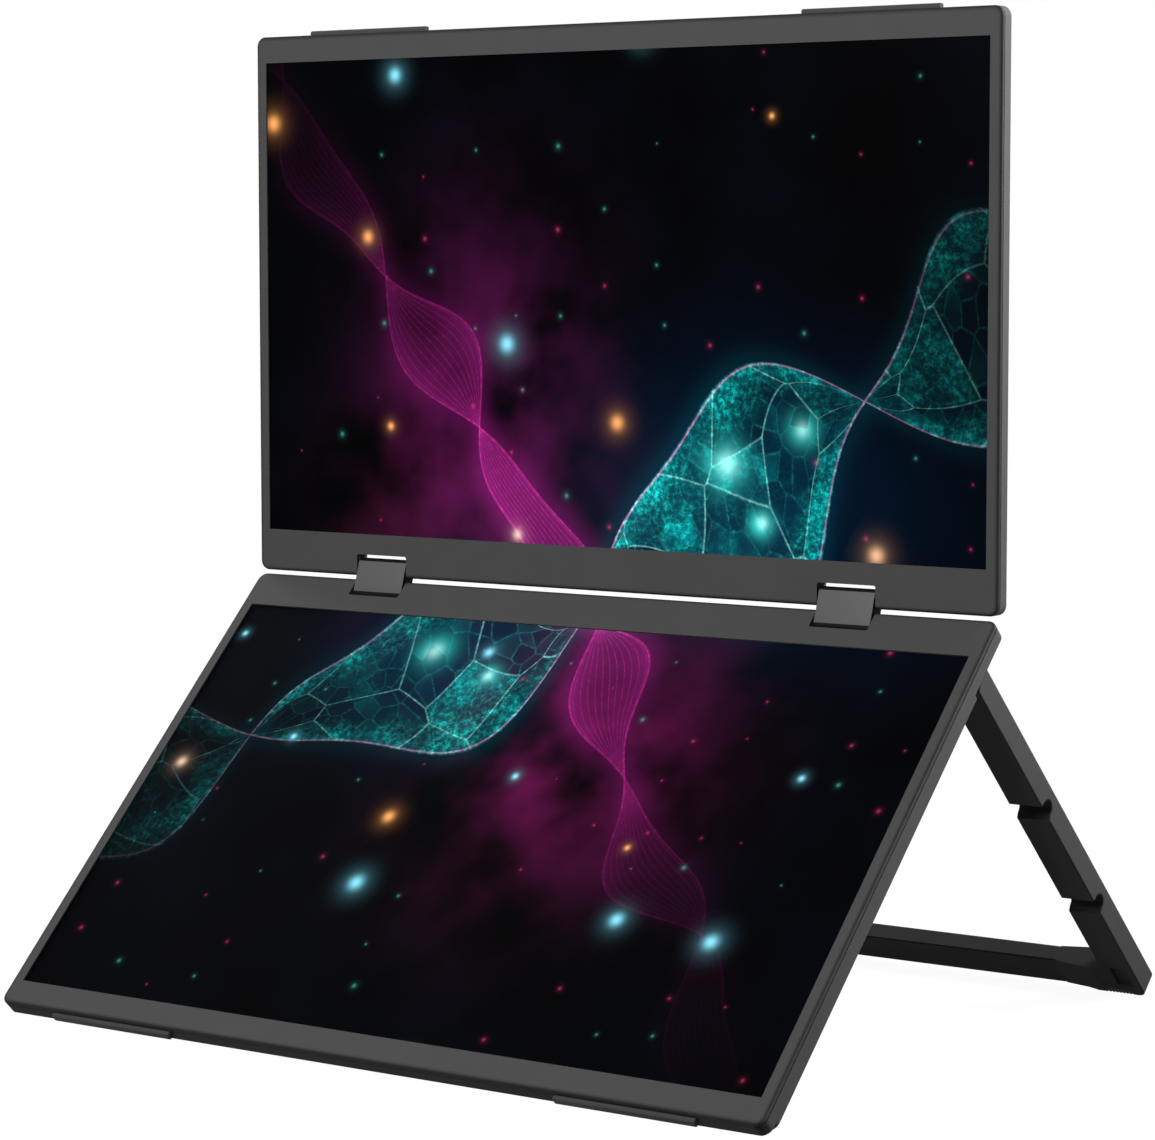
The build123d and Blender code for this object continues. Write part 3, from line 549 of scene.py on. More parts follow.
@dataclass(frozen=True)
class Sheet:
    """A twisted sheet of light in the picture.

    Two edges run along the sheet as sums of sines, each of a height, a length and a start in turns.
    Everything between them is laid out by its share of the way from one edge to the other, so it draws
    together where the edges cross.
    """

    turn: float
    centre: tuple
    edges: tuple
    reach: float
    least_width: float = 0.4 * MM
    side_blend: float = 0.02
    rim_width: float = 0.4 * MM
    glow_width: float = 7 * MM

    def edge(self, along: Signal, waves: tuple) -> Signal:
        """Sum of an edge's sines."""
        turns = 2 * math.pi
        return sum((along * (turns / span) + turns * start).sine() * high for high, span, start in waves)

    def parts(self, picture: Picture) -> dict:
        """The sheet's layers.

        Args:
            picture: the picture's coordinates.

        Returns:
            Signals by name: the distance along the sheet, its width, the share of the way across it, 1
            inside it, its rims, the glow about its rims and its fading out.
        """
        c, s = math.cos(math.radians(self.turn)), math.sin(math.radians(self.turn))
        dx, dy = picture.x - self.centre[0], picture.y - self.centre[1]
        along = dx * c + dy * s
        across = dy * c - dx * s
        first, second = (self.edge(along, waves) for waves in self.edges)
        gap = second - first
        width = gap.size() + self.least_width
        share = (across - first) / (gap.sign() * width)
        sides = (across - first, across - second)
        rim, glow = (sum(side.bell(size) for side in sides) for size in (self.rim_width, self.glow_width))
        return {
            "along": along,
            "width": width,
            "share": share,
            "inside": share.step(-self.side_blend, 0.0) * (1.0 - share.step(1.0, 1.0 + self.side_blend)),
            "rim": rim,
            "glow": glow,
            "fade": along.bell(self.reach),
        }


@dataclass(frozen=True)
class Haze:
    """A bell-shaped patch of coloured light in the picture, broken up by clouds or even."""

    colour: tuple
    middle: tuple
    size: tuple
    cloudy: bool = True


@dataclass(frozen=True)
class Dots:
    """Round lights in some of the cells of a scattered grid, in two colours."""

    pitch: float
    radius: float
    share: float
    colours: tuple
    turning: tuple
    strength: float = 1.0
    scatter: float = 0.7
    halo_size: float = 2.4
    halo_strength: float = 0.12
    share_blend: float = 0.01

    def light(self, picture: Picture) -> tuple:
        """The dots in the picture.

        Args:
            picture: the picture's coordinates.

        Returns:
            A colour and its strength.
        """
        cells = picture.graph.cells(picture.place, self.pitch, self.scatter, voronoi_dimensions="2D")
        away = Signal(picture.graph, cells.outputs["Distance"]) * self.pitch
        chance, tone, scale = picture.graph.draws(cells)
        size = self.radius * (0.5 + scale)
        lit = 1.0 - chance.step(self.share - self.share_blend, self.share + self.share_blend)
        glow = away.bell(size) + away.bell(size * self.halo_size) * self.halo_strength
        return picture.graph.blend(tone.step(*self.turning), *self.colours), glow * lit * self.strength


@dataclass(frozen=True)
class Palette:
    """Colours of the picture's lights."""

    night: tuple = (0.0001, 0.0001, 0.0003)
    dusk: tuple = (0.0003, 0.0012, 0.0035)
    facet: tuple = (0.001, 0.018, 0.030)
    splinter: tuple = (0.0, 0.11, 0.115)
    frost: tuple = (0.005, 0.72, 0.64)
    vein: tuple = (0.30, 0.90, 0.85)
    crack: tuple = (0.02, 0.35, 0.33)
    spark: tuple = (0.05, 0.78, 0.70)
    glint: tuple = (0.45, 0.65, 0.62)
    rose_rim: tuple = (0.85, 0.20, 0.60)
    teal_glow: tuple = (0.0, 0.020, 0.028)
    thread: tuple = (0.65, 0.03, 0.32)
    veil: tuple = (0.10, 0.004, 0.06)
    rose_glow: tuple = (0.075, 0.003, 0.05)


@dataclass(frozen=True)
class LitScreen:
    """A switched-on panel behind anti-glare glass: soft glows, two sheets of light and out-of-focus dots."""

    name: str
    face: Facing
    upwards: float
    colours: Palette = Palette()
    crystal: Sheet = Sheet(turn=31.0, centre=mm(14, 4), reach=138 * MM, edges=(
        ((46 * MM, 300 * MM, 0.04), (8 * MM, 110 * MM, 0.35)),
        ((40 * MM, 285 * MM, 0.58), (7 * MM, 90 * MM, 0.05)),
    ))
    veil: Sheet = Sheet(turn=-52.0, centre=mm(-20, 10), reach=118 * MM, edges=(
        ((13 * MM, 190 * MM, 0.30), (4 * MM, 90 * MM, 0.0)),
        ((16 * MM, 175 * MM, 0.85), (5 * MM, 77 * MM, 0.5)),
    ))
    threads: float = 11.0
    thread_width: float = 0.2 * MM
    facet_size: tuple = (34 * MM, 2.2)
    splinter_size: tuple = (9 * MM, 6.0)
    vein_width: float = 0.35 * MM
    sparks: tuple = (mm(58, 52, 9), mm(92, 66, 6), mm(-66, -34, 8), mm(-34, -44, 5), mm(74, 30, 5))
    cloud_size: float = 50 * MM
    drift_size: float = 17 * MM
    fine_size: float = 2.6 * MM
    hazes: tuple = (
        Haze((0.13, 0.006, 0.085), mm(-58, 62), mm(44, 62)),
        Haze((0.15, 0.005, 0.075), mm(26, -78), mm(46, 52)),
        Haze((0.022, 0.001, 0.003), mm(-104, 26), mm(34, 34)),
        Haze((0.0, 0.010, 0.030), mm(62, 34), mm(72, 52), cloudy=False),
        Haze((0.0, 0.010, 0.030), mm(-58, -34), mm(54, 40), cloudy=False),
    )
    dots: tuple = (
        Dots(60 * MM, 2.0 * MM, 0.5, ((1.0, 0.42, 0.12), (0.25, 0.8, 1.0)), (0.45, 0.55)),
        Dots(23 * MM, 0.55 * MM, 0.4, ((0.8, 0.05, 0.2), (0.08, 0.6, 0.5)), (0.55, 0.6), strength=0.4),
    )
    glass: tuple = (0.0003, 0.0003, 0.0004)
    glass_roughness: float = 0.3
    glass_grain: float = 0.25 * MM
    glass_grain_change: float = 0.04
    glass_specular: float = 0.01
    cloud_edge: tuple = (0.32, 0.72)
    dusk_edge: tuple = (0.3, 0.8)
    fine_edge: tuple = (0.42, 0.78)
    drift_edge: tuple = (0.4, 0.66)
    frost_edge: tuple = (0.2, 0.5)
    plate_edge: tuple = (0.5, 0.9)

    def facets(self, parts: dict, size: tuple) -> tuple:
        """Splits a sheet into flat facets that follow it.

        Args:
            parts: the sheet's layers.
            size: a facet's mean length along the sheet, and the mean number of facets across it.

        Returns:
            A brightness for each facet and the lines between the facets.
        """
        length, rows = size
        graph = parts["along"].graph
        place = graph.vector(parts["along"] / length, parts["share"] * rows)
        flat = {"voronoi_dimensions": "2D"}
        border = graph.cells(place, 1.0, 1.0, feature="DISTANCE_TO_EDGE", **flat)
        lines = Signal(graph, border.outputs["Distance"]).bell(self.vein_width / length)
        return graph.draws(graph.cells(place, 1.0, 1.0, **flat))[0], lines

    def haze(self, picture: Picture) -> list:
        """Near-black navy with violet and deep blue haze.

        Args:
            picture: the picture's coordinates.

        Returns:
            Pairs of a colour and its strength.
        """
        cloud = picture.cloud(self.cloud_size, 3.0)
        broken = cloud.step(*self.cloud_edge)
        sky = picture.graph.blend(cloud.step(*self.dusk_edge), self.colours.night, self.colours.dusk)
        lights = [(sky, 1.0)]
        for haze in self.hazes:
            patch = picture.glow(haze.middle, haze.size)
            lights.append((haze.colour, patch * broken if haze.cloudy else patch))
        return lights

    def crystal_sheet(self, picture: Picture, fine: Signal) -> list:
        """Teal sheet of facets in two sizes, with frost near its rims, glints on it and a rose rim.

        Each light's strength is a product of the layers that it shows in and of its share of the speckle.

        Args:
            picture: the picture's coordinates.
            fine: fine speckle from 0 to 1.

        Returns:
            Pairs of a colour and its strength.
        """
        parts = self.crystal.parts(picture)
        facet, veins = self.facets(parts, self.facet_size)
        splinter, cracks = self.facets(parts, self.splinter_size)
        body = parts["inside"] * parts["fade"]
        drift = picture.cloud(self.drift_size).step(*self.drift_edge)
        near_rim = (parts["share"] - 0.5).size().step(*self.frost_edge)
        plates = facet.step(*self.plate_edge) * (0.2 + drift)
        frost = (near_rim * (0.35 + drift) + plates * 0.7) * (0.1 + fine * 1.35)
        spark = sum(picture.glow((across, up), (size, size)) for across, up, size in self.sparks)
        hue = self.colours
        return [
            (hue.facet, body * (0.3 + facet * 0.7)),
            (hue.splinter, body * splinter.step(0.5, 1.0) * (0.15 + facet * drift)),
            (hue.frost, body * frost),
            (hue.vein, body * veins * (0.3 + fine)),
            (hue.crack, body * cracks * (0.1 + fine * 0.6)),
            (hue.spark, body * spark * (0.45 + splinter * 0.8)),
            (hue.glint, body * spark ** 5.0),
            (hue.rose_rim, parts["rim"] * parts["fade"] * (0.5 + fine * 0.6)),
            (hue.teal_glow, parts["glow"] * parts["fade"]),
        ]

    def veil_sheet(self, picture: Picture, fine: Signal) -> list:
        """Rose sheet of fine threads along it, at even shares of its width, with a magenta haze about it.

        Args:
            picture: the picture's coordinates.
            fine: fine speckle from 0 to 1.

        Returns:
            Pairs of a colour and its strength.
        """
        parts = self.veil.parts(picture)
        off = (parts["share"] * self.threads).fraction() - 0.5
        threads = (off * parts["width"] / self.threads).bell(self.thread_width) * parts["inside"]
        return [
            (self.colours.thread, (threads * 0.6 + parts["rim"]) * (0.3 + fine) * parts["fade"]),
            (self.colours.veil, parts["inside"] * parts["fade"]),
            (self.colours.rose_glow, parts["glow"] * parts["fade"]),
        ]

    def make(self) -> bpy.types.Material:
        """Builds the material.

        Returns:
            The new material.
        """
        graph = Graph(bpy.data.materials.new(self.name))
        picture = Picture(graph, self.face, self.upwards)
        fine = picture.cloud(self.fine_size, 5.0, 0.75).step(*self.fine_edge)
        lights = self.haze(picture) + self.veil_sheet(picture, fine) + self.crystal_sheet(picture, fine)
        lights += [dots.light(picture) for dots in self.dots]
        grain = graph.noise(graph.place(), self.glass_grain)
        graph.surface(
            Base_Color=self.glass,
            Roughness=self.glass_roughness + self.glass_grain_change * grain,
            Specular_IOR_Level=self.glass_specular,
            Emission_Color=graph.layer(*(graph.tint(colour, strength) for colour, strength in lights)),
            Emission_Strength=1.0,
        )
        return graph.owner


FINISHES = {
    "hinge_link": Finish("satin_aluminium", (0.072, 0.072, 0.0725), 0.55, specular=0.2, mottling=0.04),
    # Near-black link core: painted shade at the ends and sides of each link.
    "link_core": Finish("black_link_core", (0.004, 0.004, 0.004), 0.6, specular=0.05),
    "leg": Finish("leg_coating", (0.09, 0.09, 0.0905), 0.55, specular=0.02, grain_size=0.25 * MM),
    "rubber": Finish("soft_rubber", (0.02, 0.02, 0.021), 0.8, specular=0.25, grain_depth=0.03 * MM),
    "strip": Finish("grey_rubber", (0.036, 0.036, 0.037), 0.75, specular=0.2, grain_depth=0.02 * MM),
    "button": Finish("button_moulding", (0.02, 0.02, 0.021), 0.45),
    "black_plastic": Finish("black_moulding", (0.014, 0.014, 0.014), 0.5),
    "clear_plastic": Finish("frosted_lens", (0.6, 0.66, 0.7), 0.35, mottling=0.03),
    "chip": Finish("chip_resin", (0.012, 0.012, 0.013), 0.55, grain_size=0.12 * MM),
    "light_guide": Finish("light_guide_film", (0.8, 0.8, 0.82), 0.3, mottling=0.02),
    "ribbon": Finish("amber_film", (0.4, 0.17, 0.04), 0.3, mottling=0.1, mottling_size=5 * MM),
    "steel": BrushedFinish("bare_steel", (0.55, 0.55, 0.56), 0.32),
    "dark_steel": BrushedFinish("blackened_steel", (0.03, 0.03, 0.032), 0.5),
    "screw": BrushedFinish("black_screw", (0.06, 0.06, 0.065), 0.38),
    "port_metal": BrushedFinish("plated_shell", (0.6, 0.6, 0.6), 0.25),
    "brass": BrushedFinish("turned_brass", (0.7, 0.5, 0.2), 0.25),
    "circuit_board": BoardFinish("circuit_board"),
}


# Meshes
def rectangle(rows: tuple, heights: tuple, radii: tuple, steps: int = 7) -> np.ndarray:
    """Rounded rectangle in row and height, anticlockwise from its lowest corner.

    Each corner is an arc about a centre that lies its radius inside both sides. With the corners numbered
    from 0, its points stand at turns of 2 + number + t right angles, for t in even steps from 0 to 1.

    Args:
        rows: lowest and highest row.
        heights: lowest and highest height.
        radii: each corner's radius.
        steps: points on each arc.

    Returns:
        (4 * steps, 2) points.
    """
    corners = np.array([(rows[a], heights[b]) for a, b in ((0, 0), (1, 0), (1, 1), (0, 1))])
    inwards = np.array([(1, 1), (-1, 1), (-1, -1), (1, -1)])
    turn = (2 + np.arange(4)[:, None] + np.linspace(0.0, 1.0, steps)) * math.pi / 2
    arcs = inwards[:, None] + np.stack([np.cos(turn), np.sin(turn)], axis=-1)
    return (corners[:, None] + np.array(radii)[:, None, None] * arcs).reshape(-1, 2)


def outward(outline: np.ndarray) -> np.ndarray:
    """Unit normals of a closed anticlockwise outline, from the line between each point's neighbours.

    Args:
        outline: (N, 2) points.

    Returns:
        (N, 2) normals.
    """
    tangent = np.roll(outline, -1, axis=0) - np.roll(outline, 1, axis=0)
    normal = np.stack([tangent[:, 1], -tangent[:, 0]], axis=1)
    return normal / np.linalg.norm(normal, axis=1, keepdims=True)


def tube_faces(rings: int, around: int) -> list:
    """Faces of a stack of closed rings, with a flat face at each end.

    Point k of ring r has the number r * around + k, and each side joins points k and k + 1 of two rings.

    Args:
        rings: number of rings.
        around: points on each ring.

    Returns:
        Lists of point numbers.
    """
    ring, step = np.meshgrid(np.arange(rings - 1), np.arange(around), indexing="ij")
    here = ring * around + step
    beside = ring * around + (step + 1) % around
    sides = np.stack([here, beside, beside + around, here + around], axis=-1).reshape(-1, 4)
    first = np.arange(around)
    return [*sides.tolist(), first[::-1].tolist(), (first + (rings - 1) * around).tolist()]


@dataclass
class Bar:
    """A closed outline, as an (N, 2) array of rows and heights over a face, carried a length along X."""

    face: Facing
    outline: np.ndarray
    middle: float
    length: float

    def drawn_in(self, x: np.ndarray, inset: np.ndarray) -> tuple:
        """The bar with its outline drawn in along its normals.

        Args:
            x: (M,) places along X from the bar's low end.
            inset: (M,) how far the outline is drawn in at each place.

        Returns:
            Points and faces.
        """
        rings = self.outline[None, :, :] - inset[:, None, None] * outward(self.outline)[None, :, :]
        points = self.face.point(self.middle - self.length / 2 + x[:, None], rings[..., 0], rings[..., 1])
        return points, tube_faces(len(x), len(self.outline))

    def rounded(self, edge: float, steps: int = 5) -> tuple:
        """The bar with both ends rounded over.

        At a turn t from 0 to a right angle the outline stands edge * (1 - cos t) from the end and is drawn
        in by edge * (1 - sin t).

        Args:
            edge: radius of the rounding.
            steps: rings on each rounding.

        Returns:
            Points and faces.
        """
        turn = np.linspace(0.0, math.pi / 2, steps)
        inwards, drawn = edge * (1 - np.cos(turn)), edge * (1 - np.sin(turn))
        x = np.concatenate([inwards, self.length - inwards[::-1]])
        return self.drawn_in(x, np.concatenate([drawn, drawn[::-1]]))

    def ribbed(self, pitch: float, depth: float, steps: int = 12) -> tuple:
        """The bar with ribs round it.

        At a distance t from the first end it is drawn in by depth * (1 - cos(2 pi t / pitch)) / 2.

        Args:
            pitch: distance from rib to rib, a whole number of times in the bar's length.
            depth: depth of the grooves.
            steps: rings on each rib.

        Returns:
            Points and faces.
        """
        along = np.linspace(0.0, self.length, steps * round(self.length / pitch) + 1)
        grooves = depth * (1 - np.cos(2 * math.pi * along / pitch)) / 2
        return self.drawn_in(along, grooves)


def joined(parts: list) -> tuple:
    """Several meshes as one: points one after another, and faces with their numbers moved on.

    Args:
        parts: pairs of points and faces.

    Returns:
        Points and faces.
    """
    points, faces, start = [], [], 0
    for some, sides in parts:
        flat = some.reshape(-1, 3)
        points.append(flat)
        faces += [[start + corner for corner in side] for side in sides]
        start += len(flat)
    return np.concatenate(points), faces


@dataclass(frozen=True)
class Screw:
    """A countersunk screw with a star socket, turned about a line square to a face.

    The profile's rings have a radius and a height each. At a turn a, the two rings of the socket's floor
    and mouth are scaled by 1 + star * cos 6a, which draws the star. The others are round.
    """

    head: float
    head_depth: float
    shank: float
    shank_length: float
    socket_depth: float = 0.5
    star: float = 0.16
    around: int = 36

    def mesh(self, face: Facing, x: float, row: float, top: float) -> tuple:
        """The screw at one place.

        Args:
            face: the face whose front direction the head looks to.
            x: place along X.
            row: place from the face's origin.
            top: height of the head's top over the face.

        Returns:
            Points and faces.
        """
        floor = top - self.socket_depth * self.head_depth
        neck = top - self.head_depth
        tip = neck - self.shank_length
        rim, side = top - 0.04 * self.head_depth, top - 0.14 * self.head_depth
        wall = top - 0.35 * self.head_depth
        profile = np.array([
            (0.02 * self.head, floor, 0), (0.50 * self.head, floor, self.star),
            (0.53 * self.head, top, self.star), (0.62 * self.head, top, 0), (0.92 * self.head, top, 0),
            (0.98 * self.head, rim, 0), (self.head, side, 0), (self.head, wall, 0),
            (self.shank, neck, 0), (self.shank, tip, 0), (0.6 * self.shank, tip, 0),
        ])
        radius, height, star = profile[:, :1], profile[:, 1:2], profile[:, 2:]
        turn = np.linspace(0.0, 2 * math.pi, self.around, endpoint=False)
        reach = radius * (1 + star * np.cos(6 * turn))
        points = face.point(
            x + reach * np.cos(turn), row + reach * np.sin(turn), np.broadcast_to(height, reach.shape)
        )
        return points, tube_faces(len(profile), self.around)


def mesh_piece(name: str, points: np.ndarray, faces: list, material: bpy.types.Material) -> bpy.types.Object:
    """A mesh object at the origin, with its normals turned outwards and smooth where faces meet gently.

    Args:
        name: the piece's name.
        points: (N, 3) vertices in metres.
        faces: lists of vertex numbers.
        material: the piece's finish.

    Returns:
        The object, in the scene.
    """
    mesh = bpy.data.meshes.new(name)
    mesh.from_pydata(points.reshape(-1, 3).tolist(), [], faces)
    mesh.validate()
    work = bmesh.new()
    work.from_mesh(mesh)
    bmesh.ops.recalc_face_normals(work, faces=work.faces)
    work.to_mesh(mesh)
    work.free()
    mesh.materials.append(material)
    mesh.shade_smooth()
    mesh.set_sharp_from_angle(angle=SHARP_ANGLE)
    made = bpy.data.objects.new(name, mesh)
    bpy.context.scene.collection.objects.link(made)
    return made


@cache
def finish(kind: str) -> bpy.types.Material:
    """The material for a name in FINISHES, made once."""
    return FINISHES[kind].make()


def dress(material: bpy.types.Material, *nodes: str) -> None:
    """Gives carried-over solids a finish.

    Args:
        material: the finish.
        nodes: the solids' names in the frame.
    """
    for node in nodes:
        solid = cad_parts[node]
        if solid.material_slots:
            for place in solid.material_slots:
                place.material = material
        else:
            solid.data.materials.append(material)
        log.info("dressed %s with %s", node, material.name)


def build_piece(name: str, mesh: tuple, kind: str, body: str, slot: str, *nodes: str) -> None:
    """Makes a new piece, fixes it to its body and lets it stand for CAD nodes.

    Args:
        name: the piece's name.
        mesh: its points and faces.
        kind: its finish in FINISHES.
        body: the body that it moves with.
        slot: not used.
        nodes: the CAD nodes that it stands for.
    """
    obj = mesh_piece(name, *mesh, finish(kind))
    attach(obj, body)
    if nodes:
        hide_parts(*nodes)
    log.info("built %s on %s", obj.name, body)


@dataclass(frozen=True)
class Lamp:
    """A square soft lamp, turned to a point, with its light in a cone of degrees."""

    name: str
    place: tuple
    aim: tuple
    size: float
    power: float
    spread: float = 180.0

    def build(self) -> None:
        """Sets the lamp up."""
        data = bpy.data.lights.new(self.name, "AREA")
        data.shape, data.size, data.energy = "SQUARE", self.size, self.power
        data.spread = math.radians(self.spread)
        made = bpy.data.objects.new(self.name, data)
        made.location = self.place
        made.rotation_mode = "QUATERNION"
        made.rotation_quaternion = (Vector(self.aim) - Vector(self.place)).to_track_quat("-Z", "Y")
        bpy.context.scene.collection.objects.link(made)


@dataclass
class Studio:
    """White surroundings, soft lamps and the camera that sees the object as the photograph does."""

    camera_place: tuple = (0.8355, -1.14662, 0.30378)
    look: tuple = (-0.575939, 0.812402, -0.091093)
    upright: tuple = (-0.048768, 0.077088, 0.995831)
    lens: float = 114.17
    sensor: float = 36.0
    shift: tuple = (-0.0432, -0.0068)
    clip: tuple = (0.05, 50.0)
    white: tuple = (1.0, 1.0, 1.0)
    surround: float = 0.04
    floor_half: float = 6.0
    floor_cells: int = 12
    floor_tone: float = 0.06
    floor_grain: float = 0.02
    floor_grain_change: float = 0.02
    floor_roughness: float = 0.9
    floor_glow: tuple = (0.955, 0.998)
    floor_fade: tuple = (0.35, 1.3)
    lamps: tuple = (
        Lamp("side_lamp", (0.62, 0.42, 0.60), (0.18, 0.04, 0.44), size=0.35, power=3.9, spread=100.0),
        Lamp("front_lamp", (-0.05, -1.0, 0.85), (0.0, 0.0, 0.5), size=0.7, power=19.5),
        Lamp("back_lamp", (-0.3, 1.5, 1.1), (0.0, 0.1, 0.15), size=0.9, power=9.0),
        Lamp("left_lamp", (-0.9, 0.35, 0.45), (-0.1, 0.0, 0.2), size=0.5, power=6.0),
    )

    def camera(self) -> None:
        """The camera, from its place and directions."""
        data = bpy.data.cameras.new("camera")
        data.lens, data.sensor_width, data.sensor_fit = self.lens, self.sensor, "HORIZONTAL"
        data.shift_x, data.shift_y = self.shift
        data.clip_start, data.clip_end = self.clip
        made = bpy.data.objects.new("camera", data)
        look, upright = Vector(self.look), Vector(self.upright)
        right = look.cross(upright)
        turn = Matrix((right, upright, -look)).transposed().to_4x4()
        made.matrix_world = Matrix.Translation(self.camera_place) @ turn
        bpy.context.scene.collection.objects.link(made)
        bpy.context.scene.camera = made

    def world(self) -> None:
        """World that is white to the camera and in reflections, and gives plain light elsewhere."""
        graph = Graph(bpy.data.worlds.new("surroundings"))
        bpy.context.scene.world = graph.owner
        level = graph.first("ShaderNodeMapRange", Value=graph.shown(), To_Min=self.surround)
        graph.surface(Color=self.white, Strength=level)

    def floor(self) -> None:
        """Pale floor: it shows white to the camera, and darkens a little where the object shades it."""
        count = self.floor_cells + 1
        side = np.linspace(-self.floor_half, self.floor_half, count)
        x, y = np.meshgrid(side, side)
        points = np.stack([x, y, np.zeros_like(x)], axis=-1)
        rows, steps = np.meshgrid(np.arange(self.floor_cells), np.arange(self.floor_cells), indexing="ij")
        corner = rows * count + steps
        faces = np.stack([corner, corner + 1, corner + count + 1, corner + count], axis=-1)
        graph = Graph(bpy.data.materials.new("pale_floor"))
        point = graph.place()
        grain = graph.noise(point, self.floor_grain) - 0.5
        across, deep = graph.along(point, X_AXIS), graph.along(point, (0.0, 1.0, 0.0))
        far = ((across * across + deep * deep) ** 0.5).step(*self.floor_fade)
        near_glow, far_glow = self.floor_glow
        graph.surface(
            Base_Color=graph.tint(self.white, self.floor_tone * (1.0 + grain * self.floor_grain_change)),
            Roughness=self.floor_roughness,
            Specular_IOR_Level=0.0,
            Emission_Color=self.white,
            Emission_Strength=graph.shown() * (near_glow + far * (far_glow - near_glow)),
        )
        made = mesh_piece("floor", points, faces.reshape(-1, 4).tolist(), graph.owner)

    def build(self) -> None:
        """Sets the whole studio up."""
        bpy.context.scene.view_settings.view_transform = "Standard"
        self.camera()
        self.world()
        self.floor()
        for lamp in self.lamps:
            lamp.build()
        log.info("studio ready")


@dataclass
class DisplayPair:
    """Both displays' housings, screens and inner layers."""

    strip_offset: float = 119.7 * MM
    strip_length: float = 60.0 * MM
    strip_front: float = 1.9 * MM
    strip_depth: float = 3.2 * MM
    strip_proud: float = 1.8 * MM
    strip_seat: float = 0.8 * MM
    strip_round: tuple = mm(0.6, 1.1)
    strip_seat_round: float = 0.15 * MM
    strip_end: float = 0.5 * MM
    flat_back: float = 6.7 * MM
    deep_back: float = 9.0 * MM
    bracket_row: float = 12.2 * MM
    bracket_screws: tuple = mm(94.5, 129.5)
    free_row: float = 214.9 * MM
    free_screws: tuple = mm(60.0, 168.0)
    screw: Screw = Screw(1.6 * MM, 0.7 * MM, 0.75 * MM, 3.3 * MM)

    def build(self) -> None:
        """Dresses each display and lights its screen."""
        for display, face in FACES.items():
            name = display.value
            # Bezel finish with painted shade on its rolled edge.
            moulding = EdgeShadedFinish(
                f"{name}_bezel_moulding", (0.051, 0.051, 0.0515), 0.55,
                specular=0.08, grain_depth=0.012 * MM, face=face,
            )
            # Cover finish with painted shade on its free edge.
            blasted = EdgeShadedCoverFinish(
                f"{name}_blasted_aluminium", (0.105, 0.105, 0.106), 0.5,
                specular=0.02, grain_size=0.18 * MM, face=face,
            )
            dress(moulding.make(), f"{name}_front_bezel")
            dress(blasted.make(), f"{name}_back_cover")
            dress(finish("light_guide"), f"{name}_backlight")
            dress(finish("steel"), f"{name}_rear_plate")
            dress(finish("circuit_board"), f"{name}_driver_board")
            for side in Side:
                dress(finish("steel"), f"{name}_hinge_bracket_{side.word}")
                dress(finish("dark_steel"), f"{name}_hinge_pin_{side.word}")
                self.edge_strip(display, face, side)
            self.cover_screws(display, face)
            upwards = 1.0 if display is Display.UPPER else -1.0
            dress(LitScreen(f"{name}_lit_screen", face, upwards).make(), f"{name}_screen")

    def edge_strip(self, display: Display, face: Facing, side: Side) -> None:
        """A rubber strip with rounded corners along the free edge.

        Args:
            display: the display that it belongs to.
            face: that display's front.
            side: which of the two strips it is.
        """
        rows = (LENGTH - self.strip_seat, LENGTH + self.strip_proud)
        heights = (-(self.strip_front + self.strip_depth), -self.strip_front)
        outline = rectangle(rows, heights, (self.strip_seat_round, *self.strip_round, self.strip_seat_round))
        mesh = Bar(face, outline, side.value * self.strip_offset, self.strip_length).rounded(self.strip_end)
        name = f"{display.value}_edge_strip_{side.word}"
        build_piece(f"{name}_rubber", mesh, "strip", f"{display.value}_display", "rubber", name)

    def cover_screws(self, display: Display, face: Facing) -> None:
        """Star-headed screws in the back cover, along both edges.

        Args:
            display: the display that they belong to.
            face: that display's front.
        """
        back = Facing(face.origin, face.up, tuple(-c for c in face.front))
        deep = self.deep_back if display is Display.LOWER else self.flat_back
        places = [(s * x, self.bracket_row, self.flat_back) for s in (-1, 1) for x in self.bracket_screws]
        places += [(s * x, self.free_row, deep) for s in (-1, 1) for x in self.free_screws]
        mesh = joined([self.screw.mesh(back, *place) for place in places])
        name = f"{display.value}_cover_screws"
        build_piece(f"{name}_turned", mesh, "screw", f"{display.value}_display", "screw", name)


@dataclass
class Electronics:
    """Boards, sockets, speakers and buttons in the lower display: each finish with its pieces."""

    pieces: tuple = (
        ("circuit_board", "main_board"),
        ("chip", "board_chips"),
        ("screw", "board_screws"),
        ("port_metal", "usb_c_ports", "mini_hdmi_port"),
        ("black_plastic", "usb_c_tongues", "mini_hdmi_tongue", "audio_jack", "side_switches"),
        ("black_plastic", "speaker_left", "speaker_right"),
        ("clear_plastic", "status_light"),
        ("ribbon", "signal_ribbon"),
        ("button", "power_button", "menu_button", "back_button"),
    )

    def build(self) -> None:
        """Dresses each piece."""
        for kind, *nodes in self.pieces:
            dress(finish(kind), *nodes)


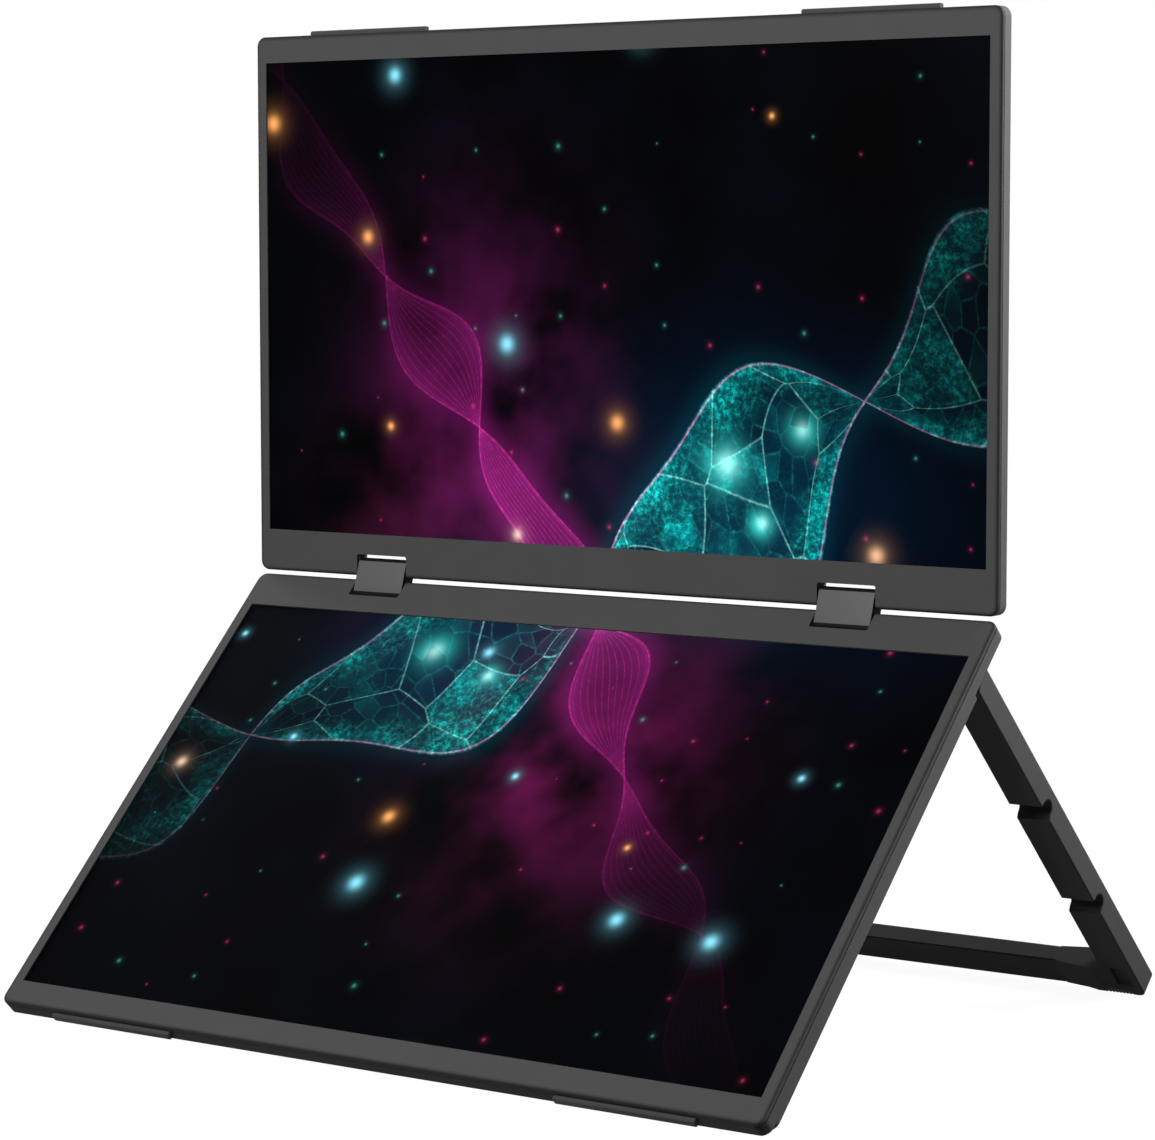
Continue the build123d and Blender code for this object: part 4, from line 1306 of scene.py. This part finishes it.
@dataclass
class Hinges:
    """The double hinges between the displays: a near-black core on two pins, which is painted shade at each
    link's ends and sides, with a light plate front and back.
    """

    offset: float = 112.0 * MM
    width: float = 24.8 * MM
    rows: tuple = mm(-3.5, 13.46)
    half_depth: float = 3.2 * MM
    end_round: float = 1.7 * MM
    core_edge: float = 0.15 * MM
    plate_step: float = 0.08 * MM
    plate_depth: float = 0.9 * MM
    # Where the plates stop short of the link's ends, leaving bands of the dark core as painted shade.
    plate_insets: tuple = mm(2.4, 1.65)
    plate_edge: float = 0.22 * MM

    def build(self) -> None:
        """Builds the links and dresses the washers."""
        for side in Side:
            self.core(side)
            self.plates(side)
        dress(finish("dark_steel"), "link_washers")

    def core(self, side: Side) -> None:
        """The block, a little thinner than the link so that its plates stand on it; its near-black finish is
        painted shade where it shows at the link's ends and sides.

        Args:
            side: which of the two links it belongs to.
        """
        half = self.half_depth - self.plate_step
        outline = rectangle(self.rows, (-half, half), (self.end_round,) * 4, 9)
        mesh = Bar(LINK_FACE, outline, side.value * self.offset, self.width).rounded(self.core_edge)
        name = f"hinge_link_{side.word}"
        build_piece(f"{name}_core", mesh, "link_core", "hinge_links", "black_plastic", name)

    def plates(self, side: Side) -> None:
        """The two plates, with their edges broken.

        Args:
            side: which of the two links they belong to.
        """
        rows = (self.rows[0] + self.plate_insets[0], self.rows[1] - self.plate_insets[1])
        inner = self.half_depth - self.plate_depth
        parts = []
        for heights in ((inner, self.half_depth), (-self.half_depth, -inner)):
            outline = rectangle(rows, heights, (self.plate_edge,) * 4, 5)
            bar = Bar(LINK_FACE, outline, side.value * self.offset, self.width)
            parts.append(bar.rounded(self.plate_edge))
        name = f"hinge_link_{side.word}_plates"
        build_piece(name, joined(parts), "hinge_link", "hinge_links", "hinge_link")


@dataclass
class Leg:
    """The folding leg and the blocks that carry it."""

    length: float = 184.8 * MM
    inner: float = 4.0 * MM
    pad_size: float = 3.2 * MM
    pad_round: float = 0.6 * MM
    pad_seat_round: float = 0.1 * MM
    pad_middle: float = 166.0 * MM
    pad_length: float = 12.0 * MM
    rib_pitch: float = 1.5 * MM
    rib_depth: float = 0.25 * MM
    screw_x: float = 145.0 * MM
    screw_row: float = 176.25 * MM
    screw_top: float = 4.45 * MM
    screw: Screw = Screw(2.2 * MM, 1.2 * MM, 1.2 * MM, 4.2 * MM)

    def foot_pad(self, side: Side) -> None:
        """A ribbed rubber pad in the foot's lowest corner.

        Args:
            side: which foot it is on.
        """
        rows = (self.length - self.pad_size, self.length)
        heights = (-self.inner, -self.inner + self.pad_size)
        seat = self.pad_seat_round
        outline = rectangle(rows, heights, (seat, self.pad_round, seat, seat))
        bar = Bar(LEG_FACE, outline, side.value * self.pad_middle, self.pad_length)
        mesh = bar.ribbed(self.rib_pitch, self.rib_depth)
        name = f"leg_foot_pad_{side.word}"
        build_piece(f"{name}_ribbed", mesh, "rubber", "leg", "rubber", name)

    def screws(self) -> None:
        """Star-headed screws through the feet into the cross bar."""
        sides = [self.screw.mesh(LEG_FACE, s * self.screw_x, self.screw_row, self.screw_top) for s in (-1, 1)]
        build_piece("leg_screws_turned", joined(sides), "screw", "leg", "screw", "leg_screws")

    def build(self) -> None:
        """Builds the pads and screws and dresses the rest."""
        self.screws()
        for side in Side:
            dress(finish("leg"), f"leg_arm_{side.word}", f"leg_hinge_block_{side.word}")
            dress(finish("steel"), f"leg_pin_{side.word}")
            self.foot_pad(side)
        dress(finish("leg"), "leg_cross_bar")
        dress(finish("screw"), "leg_block_screws")
        dress(finish("brass"), "leg_bushes")


def main() -> None:
    """Builds the looks in order."""
    logging.basicConfig(level=logging.INFO, format="%(name)s: %(message)s")
    for group in (Studio(), DisplayPair(), Electronics(), Hinges(), Leg()):
        group.build()


if __name__ == "__main__":
    main()
